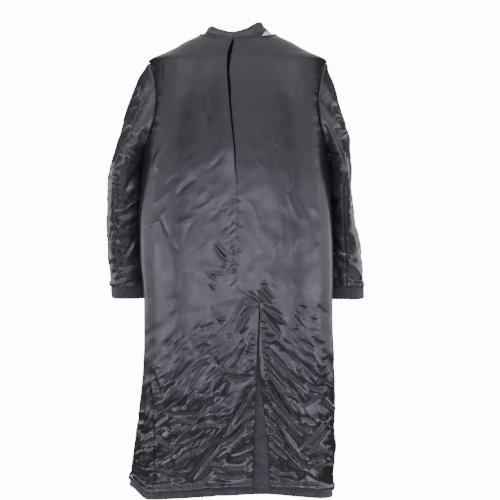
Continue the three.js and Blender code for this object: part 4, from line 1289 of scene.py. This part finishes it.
def back_lining(side):
    step = LINING_STEP[side]
    rows, row_lift = panel_rows(side, LINING_LOW_Z, TURNED, step, step + UPPER_BACK_STEP)
    over = CENTRE["over"](rows)
    lattice = back_form(side, rows)
    lengths = row_lengths(lattice)
    points, outward, gap, lift = laid_out(lattice, side, lengths, TURNED, GROOVE, step)
    x, z = points[..., 0], points[..., 2]
    seam_gap = lengths[:, None] - gap
    hem_gap = z - z[:1]
    # the plain seam between pleat and vent is only a faint line
    plain = smooth(VENT_TOP, VENT_TOP + 0.4, rows) * (1 - smooth(BREAK - 1, BREAK + 0.6, rows))
    column = np.arange(len(lift))[None]
    rolled = (column >= 3) & (column < len(TURNED))
    stand = LINING_STAND + lift[None] * np.where(rolled, 1 - 0.5 * plain[:, None], 1) + row_lift[:, None]
    relief = lining_relief(points, BACK_CREASES, BACK_SMALL, -side * LEAN, seam_gap, hem_gap, BACK_FOLDS)
    stand = stand + relief
    stand += hem_puff(np.abs(hem_gap), x, BACK_PUFF) * (hem_gap > 0.5)
    stand += neck_rim(from_top(points))
    armhole = smooth(UNDERARM + 0.2, UNDERARM + 1, rows) * (1 - smooth(SHOULDER - 0.5, SHOULDER, rows))
    stand -= 2.8 * armhole[:, None] * bell(seam_gap, 0, 3.6)
    if side == LEFT:
        stand += lap_lift(rows, gap, over, vent_rise(rows) + PLEAT_LIFT * CENTRE["pleat"](rows))
    else:
        wide = np.maximum(0.5, along_table(PLEAT_MOUTH, z, 1))
        deep = along_table(PLEAT_MOUTH, z, 2)
        stand -= deep * (1 - smooth(0, 1, (x - over[:, None] - 1) / wide)) * (z > PLEAT_MOUTH[0, 0])
    return points + outward * stand[..., None]


def shell_rows(side, front):
    rest = rows_by_length(side, 0.4, NECK, SHELL_STEP, front)
    return np.concatenate([[row_at(HEM_Z + 2)], rest])


def shell_stand(z, neck_z):
    """The shell's place below the lining: nearer to it at the turn-up and at the neck."""
    return SHELL_STAND + 4.2 * (1 - smooth(HEM_Z + 22, HEM_Z + 55, z)) + 2 * smooth(*neck_z, z)


def shell_back(side):
    rows = shell_rows(side, False)
    over = CENTRE["over"](rows)
    edge = over if side == LEFT else CENTRE["strip"](rows)
    lattice = back_lattice(side, rows, np.where(rows <= VENT_SEAM_TOP, edge, 0))
    inset = [(3, 0), (9, 0)] if side == LEFT else [(0, 0), (6, 0)]
    points, outward, gap, _ = laid_out(lattice, side, row_lengths(lattice), inset, SEWN_IN, SHELL_STEP)
    x, z = points[..., 0], points[..., 2]
    stand = shell_stand(z, (-60, -20))
    # room for the pleat's hollow
    stand -= 13 * bell(x, -18, 30) * smooth(-400, -340, z) * (1 - smooth(-50, -20, z))
    if side == LEFT:
        stand += lap_lift(rows, gap, over, vent_rise(rows))
    return points + outward * stand[..., None]


def hem_turnup(side, front):
    profile = np.array(TURNUP_PROFILE[::-1])
    rows = row_at(HEM_Z + profile[:, 0])
    lapped = side == LEFT and not front
    lattice = front_lattice(side, rows, 0, FACING_SHARE) if front else back_form(side, rows)
    first = BACK_TURNUP_EDGE if lapped else PLAIN
    points, outward, gap, lift = laid_out(lattice, side, row_lengths(lattice), first, PLAIN, HEM_STEP)
    x, y, z = points[..., 0], points[..., 1], points[..., 2]
    wobble = 0.5 * noise(x + y, z, 38, 61)
    stand = profile[:, 1][:, None] + lift[None] + wobble * smooth(2, 9, z - HEM_Z)
    if lapped:
        stand += lap_lift(rows, gap, CENTRE["over"](rows), np.full(len(rows), VENT_LIFT))
    return points + outward * stand[..., None]


def vent_strip():
    """The wool strip beside the vent, from its folded edge under the left back to where the lining starts."""
    low = row_at(HEM_Z + STRIP_HEM[:, 0])
    rows = np.concatenate([low, rows_by_length(RIGHT, low[-1], VENT_TOP + 0.25, STRIP_STEP)[1:]])
    drop = np.concatenate([STRIP_HEM[:, 1], np.zeros(len(rows) - len(STRIP_HEM))])
    lattice = back_lattice(RIGHT, rows, CENTRE["strip"](np.minimum(rows, VENT_TOP)))
    wide = np.interp(rows, LEVELS, CENTRE_ROWS[:, 1] - CENTRE_ROWS[:, 2]) + 8
    wide = np.where(rows > VENT_TOP, 60, wide)
    points, outward, _, lift = laid_out(lattice, RIGHT, wide, STRIP_EDGE, PLAIN, STRIP_STEP)
    x, z = points[..., 0], points[..., 2]
    wobble = 0.8 * noise(x, z, 60, 71) + 0.25 * noise(x, z, 14, 72)
    near_hem = 3.4 * (1 - smooth(HEM_Z + 20, HEM_Z + 60, z)) - 2.2 * smooth(3.6, 4.6, rows)[:, None]
    stand = STRIP_STAND + drop[:, None] + lift[None] + wobble + near_hem
    return points + outward * stand[..., None]


def raised_front_lattice(side, rows, first, last):
    """A front's lattice, with the right one's lap lifted a little more for its creases."""
    lattice = front_lattice(side, rows, first, last)
    return raise_right_front(side, lattice, rows, first, last, FRONT_LIFT - FRONT_STAND)


def front_lining(side):
    step = FRONT_LINING_STEP
    rows, row_lift = panel_rows(side, LINING_LOW_Z, TURNED, step, step, front=True)
    lattice = raised_front_lattice(side, rows, 0, FACING_SHARE)
    lengths = row_lengths(lattice)
    points, outward, gap, lift = laid_out(lattice, side, lengths, GROOVE, GROOVE, step)
    x, z = points[..., 0], points[..., 2]
    hem_gap = z - z[:1]
    relief = lining_relief(points, FRONT_CREASES, FRONT_SMALL, -side * LEAN, gap, hem_gap, FRONT_FOLDS)
    stand = LINING_STAND + lift[None] + row_lift[:, None] + relief * smooth(0, 8, lengths[:, None] - gap)
    stand += hem_puff(np.abs(hem_gap), x, FRONT_PUFF) * (hem_gap > 0.5)
    stand = stand + neck_rim(from_top(points))
    return points + outward * stand[..., None]


def front_facing(side):
    rows, row_lift = panel_rows(side, HEM_Z, FACING_HEM, FACING_STEP, FACING_STEP, front=True)
    lattice = raised_front_lattice(side, rows, FACING_SHARE, 1)
    lengths = row_lengths(lattice)
    points, outward, gap, lift = laid_out(lattice, side, lengths, PLAIN, FACING_EDGE, FACING_STEP)
    wobble = 0.5 * noise(points[..., 0], points[..., 2], 55, 83) * smooth(0, 12, gap)
    stand = FACING_STAND + lift[None] + row_lift[:, None] + wobble
    stand = stand + neck_rim(from_top(points)) * 0.4
    return points + outward * stand[..., None]


def shell_front(side):
    rows = shell_rows(side, True)
    lattice = raised_front_lattice(side, rows, 0, 1)
    lengths = row_lengths(lattice)
    points, outward, gap, _ = laid_out(lattice, side, lengths, SEWN_IN, [(1.5, 0), (6, 0)], SHELL_STEP)
    stand = shell_stand(points[..., 2], (-110, -80))
    stand = np.minimum(-0.4, stand + 4.4 * smooth(0.7, 0.8, gap / lengths[:, None]))
    return points + outward * stand[..., None]


# ---------------------------------------------------------------- the sleeves

PLACE_WIDTH = 36.0  # of one of the twelve places round a sleeve
# Rows of gathers that run down the sleeves: place round, z from, to, spacing, reach, height.
SLEEVE_GATHERS = {
    LEFT: [(2, -345, -640, 11, 9, 3.0), (0.4, -300, -620, 12, 9, 2.2)],
    RIGHT: [(3, -300, -640, 11, 8, 2.6), (0.4, -440, -642, 13, 10, 3.2)],
}
SLEEVE_CREASES = {LEFT: LEFT_SLEEVE_CREASES, RIGHT: RIGHT_SLEEVE_CREASES}


def sleeve_turns(start, end, edge, step):
    """Places round the sleeve from start to end, about step apart, finer beside the seams, and their lift."""
    edge = np.array(edge, float)
    near = edge[:, 0] / PLACE_WIDTH
    count = int((end - start - 2 * near[-1]) * PLACE_WIDTH / step) + 1
    middle = np.linspace(start + near[-1], end - near[-1], count)[1:-1]
    lift = edge[:, 1]
    turns = np.concatenate([start + near, middle, (end - near)[::-1]])
    return turns, np.concatenate([lift, np.zeros(len(middle)), lift[::-1]])


def round_at(side):
    """Millimetres round the sleeve from the shoulder line at each place, front side negative."""
    places = np.linspace(-6, 6, ROUND_PLACES)
    run = running_length(sleeve_rings(side, places)[6])
    return lambda turns: np.interp((np.asarray(turns) + 6) % 12 - 6, places, run - run[ROUND_PLACES // 2])


def sleeve_cloth(side, start, end, edge, step):
    """Part of a sleeve between two places round it: the places, their lift, its length and its surface."""
    turns, lift = sleeve_turns(start, end, edge, step)
    rings = sleeve_rings(side, np.concatenate([[turns[0] - 0.1], turns, [turns[-1] + 0.1]]))
    knots = mean_gaps(rings)
    axis = sleeve_rings(side, np.arange(12)).mean(axis=1)

    def surface(place):
        """Points and normals at distances from the sleeve's head, facing away from its axis."""
        points = spline(knots, rings, level=False)(place)
        outward = grid_normals(points, 1)[:, 1:-1]
        points = points[:, 1:-1]
        middle_line = spline(knots, axis, level=False)(place)
        if ((points - middle_line[:, None]) * outward).sum() < 0:
            outward = -outward
        return points, outward

    return turns, lift, knots, surface


def sleeve_lining(side, start, end):
    turns, lift, knots, surface = sleeve_cloth(side, start, end, GROOVE, SLEEVE_LINING_STEP)
    length = knots[-2]
    head, tail = np.array(GROOVE), np.array(TURNED)[::-1]
    margin = head[-1, 0]
    count = int((length - 2 * margin) / SLEEVE_LINING_STEP)
    middle = np.linspace(margin, length - margin, count)[1:-1]
    place = np.concatenate([head[:, 0], middle, length - tail[:, 0]])
    row_lift = np.concatenate([head[:, 1], np.zeros(len(middle)), tail[:, 1]])
    points, outward = surface(place)
    x, z = points[..., 0], points[..., 2]
    stand = LINING_STAND + np.zeros_like(z) + row_lift[:, None]
    stand += lift[None]
    around = np.broadcast_to(round_at(side)(turns)[None], z.shape)
    from_head = np.broadcast_to(place[:, None], z.shape)
    from_end = length - from_head
    stand += sleeve_relief(side, x, z, around, -outward[..., 1], from_head, from_end)
    inside = smooth(0.75, 1.0, (1 - np.cos(turns * math.pi / 6)) / 2)[None]
    stand += 4.5 * inside * smooth(-150, -260, z)
    stand += hem_puff(np.abs(from_end), around, SLEEVE_PUFF) * (from_end > 0.5) * 0.8
    stand += seam_puckers(around, from_head, 22, 12, 1.6, 33) - 2.8 * bell(from_head, 0, 3.6)
    return points + outward * stand[..., None]


def sleeve_relief(side, x, z, around, facing_back, from_head, from_end):
    """Height of a sleeve's creases: drawn ones behind, others on its hidden side, gathers at its seams."""
    flat_x, flat_z, flat_around = x.ravel(), z.ravel(), around.ravel()
    relief = 6.5 * folds(flat_around, flat_z, 78, 24 * side, 90 + side, 1.8, 0.02)
    press(relief, flat_around, flat_z, SLEEVE_SMALL[side])
    behind, hidden = np.zeros_like(relief), np.zeros_like(relief)
    press(behind, flat_x, flat_z, SLEEVE_CREASES[side], 1.4, 1.4)
    press(hidden, flat_around, flat_z, SLEEVE_ROUND_CREASES)
    back = smooth(0.0, 0.4, facing_back.ravel())
    relief = relief * (1 - 0.45 * back) + behind * back + hidden * (1 - back)
    relief = relief.reshape(z.shape) * smooth(-1, 16, from_head) * smooth(-1, 14, from_end)
    for seam, high, low, spacing, reach, tall in SLEEVE_GATHERS[side]:
        along = smooth(high + 20, high - 10, z) * smooth(low - 5, low + 15, z)
        away = np.abs(around - round_at(side)(seam))
        relief = relief - along * 1.6 * bell(away, 0, 1.8)
        relief = relief + along * seam_puckers(z, away, spacing, reach, tall, int(seam * 10))
    return relief


def sleeve_shell(side, start, end):
    _, _, knots, surface = sleeve_cloth(side, start, end, PLAIN, SLEEVE_SHELL_STEP)
    count = int(knots[-1] / SLEEVE_SHELL_STEP)
    place = np.concatenate([[0.5], np.linspace(6, knots[-1] - 6, count), [knots[-1] - 2]])
    row_lift = SHELL_STAND * (1 - smooth(knots[-2] - 40, knots[-2] - 5, place) * 0.84)
    points, outward = surface(place)
    return points + outward * row_lift[:, None, None]


def cuff_turnup(side):
    _, _, knots, surface = sleeve_cloth(side, 0, 12, PLAIN, CUFF_STEP)
    profile = np.array(TURNUP_PROFILE)
    place = np.minimum(knots[-2] + CUFF - profile[:, 0] * CUFF / TURNUP, knots[-1])
    points, outward = surface(place)
    x, y, z = points[..., 0], points[..., 1], points[..., 2]
    stand = profile[:, 1][:, None] + 0.5 * noise(x + y, z, 30, 66)
    return (points + outward * stand[..., None])[:, :-1]


# ---------------------------------------------------------------- the neck


def collar_face():
    """The collar's outer face from just under the neck seam, up, over the roll and down inside the neck."""
    edge = COLLAR_ROWS[-1, 0]
    angles = np.linspace(-edge, edge, int(2 * edge * 1.5 / COLLAR_STEP))
    rise = spline(COLLAR_ROWS[:, 0], COLLAR_ROWS[:, 1])(angles)
    lean = spline(COLLAR_ROWS[:, 0], COLLAR_ROWS[:, 2])(angles)
    turn = np.radians(np.abs(angles))
    base = np.empty((len(angles), 3))
    for side, mine in ((LEFT, angles < 0), (RIGHT, angles >= 0)):
        base[mine] = body_point(side, turn[mine], NECK)
    inward = unit(np.stack([-base[:, 0], -base[:, 1], 0 * turn], axis=1))
    roll = np.minimum(COLLAR_ROLL, rise * 0.35)
    top = lean * 0.85
    tuck = 7 - 6 * smooth(55, 80, -angles)
    shoulder = rise - roll
    profile = [
        (tuck, 0 * rise - 4),
        (tuck - 1, 0 * rise),
        (lean * 0.25 + 1, shoulder * 0.3),
        (lean * 0.5, shoulder * 0.62),
        (top * 0.88, shoulder * 0.92),
        (top + roll * 0.25, rise - roll * 0.25),
        (top + roll, rise),
        (top + 1.8 * roll, rise - 0.3 * roll),
        (top + 2.2 * roll, shoulder),
        (top + 2.3 * roll, shoulder - COLLAR_FALL * 0.3),
        (top + 2.2 * roll, shoulder - COLLAR_FALL * 0.6),
        (top + 1.6 * roll, shoulder - COLLAR_FALL),
    ]
    upright = np.array([0, 0, 1.0])
    control = np.array([base + inward * across[:, None] + upright * up[:, None] for across, up in profile])
    knots = mean_gaps(control)
    rows = np.linspace(0, knots[-1], int(knots[-1] / COLLAR_STEP))
    face = spline(knots, control, level=False)(rows)
    run = np.broadcast_to(angles[None] * 1.5, face.shape[:2])
    height = np.broadcast_to(rows[:, None], face.shape[:2])
    ripple = 1.1 * noise(run, height, 42, 101) + 0.5 * noise(run, height, 15, 102)
    crease = -2.4 * bell(height - 26 - (run - 40) * 0.12, 0, 3.2) * smooth(0, 18, run) * smooth(84, 50, run)
    lift = (ripple + crease) * smooth(2, 9, height)
    return face + grid_normals(face, 1) * lift[..., None]


def neck_tape():
    """A blank tape label at the right of the collar's seam, its lower edge on the lining."""
    across, up = np.meshgrid(np.linspace(0, 1, 14), np.linspace(0, 1, 8))
    row = 19.75 + 0.25 * np.minimum(1, up * 1.6)
    x = (56 + 8 * up) * (1 - across) + (77 - 2 * up) * across
    face = body_point(RIGHT, np.arcsin(x / half_width(RIGHT, row)), row)
    away = unit(np.stack([x, -np.full_like(x, 62.0), 38 - 30 * up], axis=-1))
    face = face + away * (5.6 + 0.5 * np.sin(across * 7))[..., None]
    face[..., 2] += 3 + (6 - 2 * across) * np.maximum(0, up * 1.6 - 0.6)
    return face


# ---------------------------------------------------------------- the coat


def hang(face):
    """The hem drops towards the side seams, and its left corner is lifted again."""
    x, z = face[..., 0], face[..., 2]
    drop = 15 * np.clip((35 - x) / 250, 0, 1) + 13 * np.clip((x - 80) / 155, 0, 1)
    drop -= 24 * smooth(-222, -268, x)
    lowered = face.copy()
    lowered[..., 2] -= drop * smooth(-990, -1150, z)
    return lowered


def make_coat():
    """Every cloth piece by its node, and the lines of points that stitches run along."""
    made, sewn = {}, {"vent": [], "hem": [], "cuff": []}
    for side, word in WORDS.items():
        face = hang(back_lining(side))
        edge = face[STITCHED:, STITCHED]
        sewn["vent"].append(edge[edge[:, 2] < VENT_STITCHES_TOP])
        sewn["hem"].append(face[STITCHED, 7:-5])
        made[f"lining_back_{word}"] = wall(f"back_lining_{word}", face, LINING, side)
        made[f"shell_back_{word}"] = wall(f"back_shell_{word}", hang(shell_back(side)), SHELL, side)
        face = hang(hem_turnup(side, False))
        made[f"hem_turnup_back_{word}"] = wall(f"back_turnup_{word}", face, WOOL_TURNUP, side)
        face = hang(front_lining(side))
        sewn["hem"].append(face[STITCHED, 5:-5])
        made[f"lining_front_{word}"] = wall(f"front_lining_{word}", face, LINING, side)
        made[f"facing_{word}"] = wall(f"front_facing_{word}", hang(front_facing(side)), SHELL, side)
        made[f"shell_front_{word}"] = wall(f"front_shell_{word}", hang(shell_front(side)), SHELL, side)
        face = hang(hem_turnup(side, True))
        made[f"hem_turnup_front_{word}"] = wall(f"front_turnup_{word}", face, WOOL_TURNUP, side)
        hind, fore = SLEEVE_SEAM_AT[side]
        for half, start, end in (("under", hind, fore), ("top", fore, hind + 12)):
            face = sleeve_lining(side, start, end)
            sewn["cuff"].append(face[-1 - STITCHED])
            name = f"{half}sleeve_lining_{word}"
            made[f"lining_{half}sleeve_{word}"] = wall(name, face, SLEEVE_LINING, -side)
            name = f"{half}sleeve_shell_{word}"
            made[f"shell_{half}sleeve_{word}"] = wall(name, sleeve_shell(side, start, end), SHELL, -side)
        made[f"cuff_turnup_{word}"] = wall(f"cuff_{word}", cuff_turnup(side), WOOL_TURNUP, -side, ring=True)
    made["vent_facing"] = wall("vent_strip", hang(vent_strip()), WOOL_TURNUP, RIGHT)
    made["collar"] = wall("collar_cloth", collar_face(), COLLAR_CLOTH, 1)
    made["neck_label"] = wall("blank_neck_label", neck_tape(), LABEL_TAPE, RIGHT)
    return made, sewn


def stitch_tree():
    """Short stitches laid end to end along lines: spacing, length, thread and stray are named inputs."""
    tree = bpy.data.node_groups.new("hand_stitches", "GeometryNodeTree")
    face = tree.interface
    face.new_socket("Lines", in_out="INPUT", socket_type="NodeSocketGeometry")
    for label, kind, value in (
        ("Spacing", FLOAT, 0.007),
        ("Length", FLOAT, 0.0035),
        ("Thread", FLOAT, 0.0007),
        ("Stray", FLOAT, 0.5),
        ("Seed", "NodeSocketInt", STITCH_SEED),
    ):
        face.new_socket(label, in_out="INPUT", socket_type=kind).default_value = value
    face.new_socket("Material", in_out="INPUT", socket_type="NodeSocketMaterial")
    face.new_socket("Stitches", in_out="OUTPUT", socket_type="NodeSocketGeometry")
    given, out = tree.nodes.new("NodeGroupInput").outputs, tree.nodes.new("NodeGroupOutput")

    def made(kind, inputs=None, **settings):
        return tree_node(tree, kind, inputs, **settings).outputs[0]

    curve = made("GeometryNodeMeshToCurve", {"Mesh": given["Lines"]})
    even = made("GeometryNodeResampleCurve", {"Curve": curve, "Length": given["Spacing"]}, mode="LENGTH")
    least = calc(tree, "MULTIPLY", given["Stray"], -1.0)
    inputs = {"Min": least, "Max": given["Stray"], "Seed": given["Seed"]}
    stray = made("FunctionNodeRandomValue", inputs, data_type="FLOAT_VECTOR")
    way = calc_vector(tree, "ADD", made("GeometryNodeInputTangent"), stray)
    turn = made("FunctionNodeAlignRotationToVector", {"Vector": way}, axis="X")
    size = made("ShaderNodeCombineXYZ", {"X": given["Length"], "Y": given["Thread"], "Z": given["Thread"]})
    bead = made("GeometryNodeMeshUVSphere", {"Segments": 6, "Rings": 4, "Radius": 0.5})
    inputs = {"Points": even, "Instance": bead, "Rotation": turn, "Scale": size}
    laid = made("GeometryNodeInstanceOnPoints", inputs)
    real = made("GeometryNodeRealizeInstances", {"Geometry": laid})
    soft = made("GeometryNodeSetShadeSmooth", {"Geometry": real})
    ends = made("GeometryNodeSetMaterial", {"Geometry": soft, "Material": given["Material"]})
    feed(tree, out, {"Stitches": ends})
    return tree


def stitches(name, lines, tree, spacing, length):
    """Stitches along lines of points in millimetres, as one plain mesh."""
    points, edges = [], []
    for line in lines:
        start = len(points)
        points += [tuple(p / MM) for p in line]
        edges += [(k, k + 1) for k in range(start, len(points) - 1)]
    guide = bpy.data.meshes.new(name + "_guide")
    guide.from_pydata(points, edges, [])
    holder = link_object(name + "_guide", guide)
    modifier = holder.modifiers.new("stitches", "NODES")
    modifier.node_group = tree
    given = {"Spacing": spacing, "Length": length, "Material": SEWING_THREAD}
    for item in tree.interface.items_tree:
        if item.item_type == "SOCKET" and item.in_out == "INPUT" and item.name in given:
            modifier[item.identifier] = given[item.name]
    bpy.context.view_layer.update()
    mesh = bpy.data.meshes.new_from_object(holder.evaluated_get(bpy.context.evaluated_depsgraph_get()))
    holder.modifiers.remove(modifier)
    bpy.data.objects.remove(holder)
    mesh.name = name
    return ridden(name, mesh)


coat, sewn_edges = make_coat()
for node, piece in coat.items():
    declare(node)

HAND_STITCHES = stitch_tree()
for seam, spacing, length in (("vent", 0.0085, 0.0045), ("hem", 0.009, 0.004), ("cuff", 0.008, 0.004)):
    stitches(f"{seam}_stitches", sewn_edges[seam], HAND_STITCHES, spacing, length)
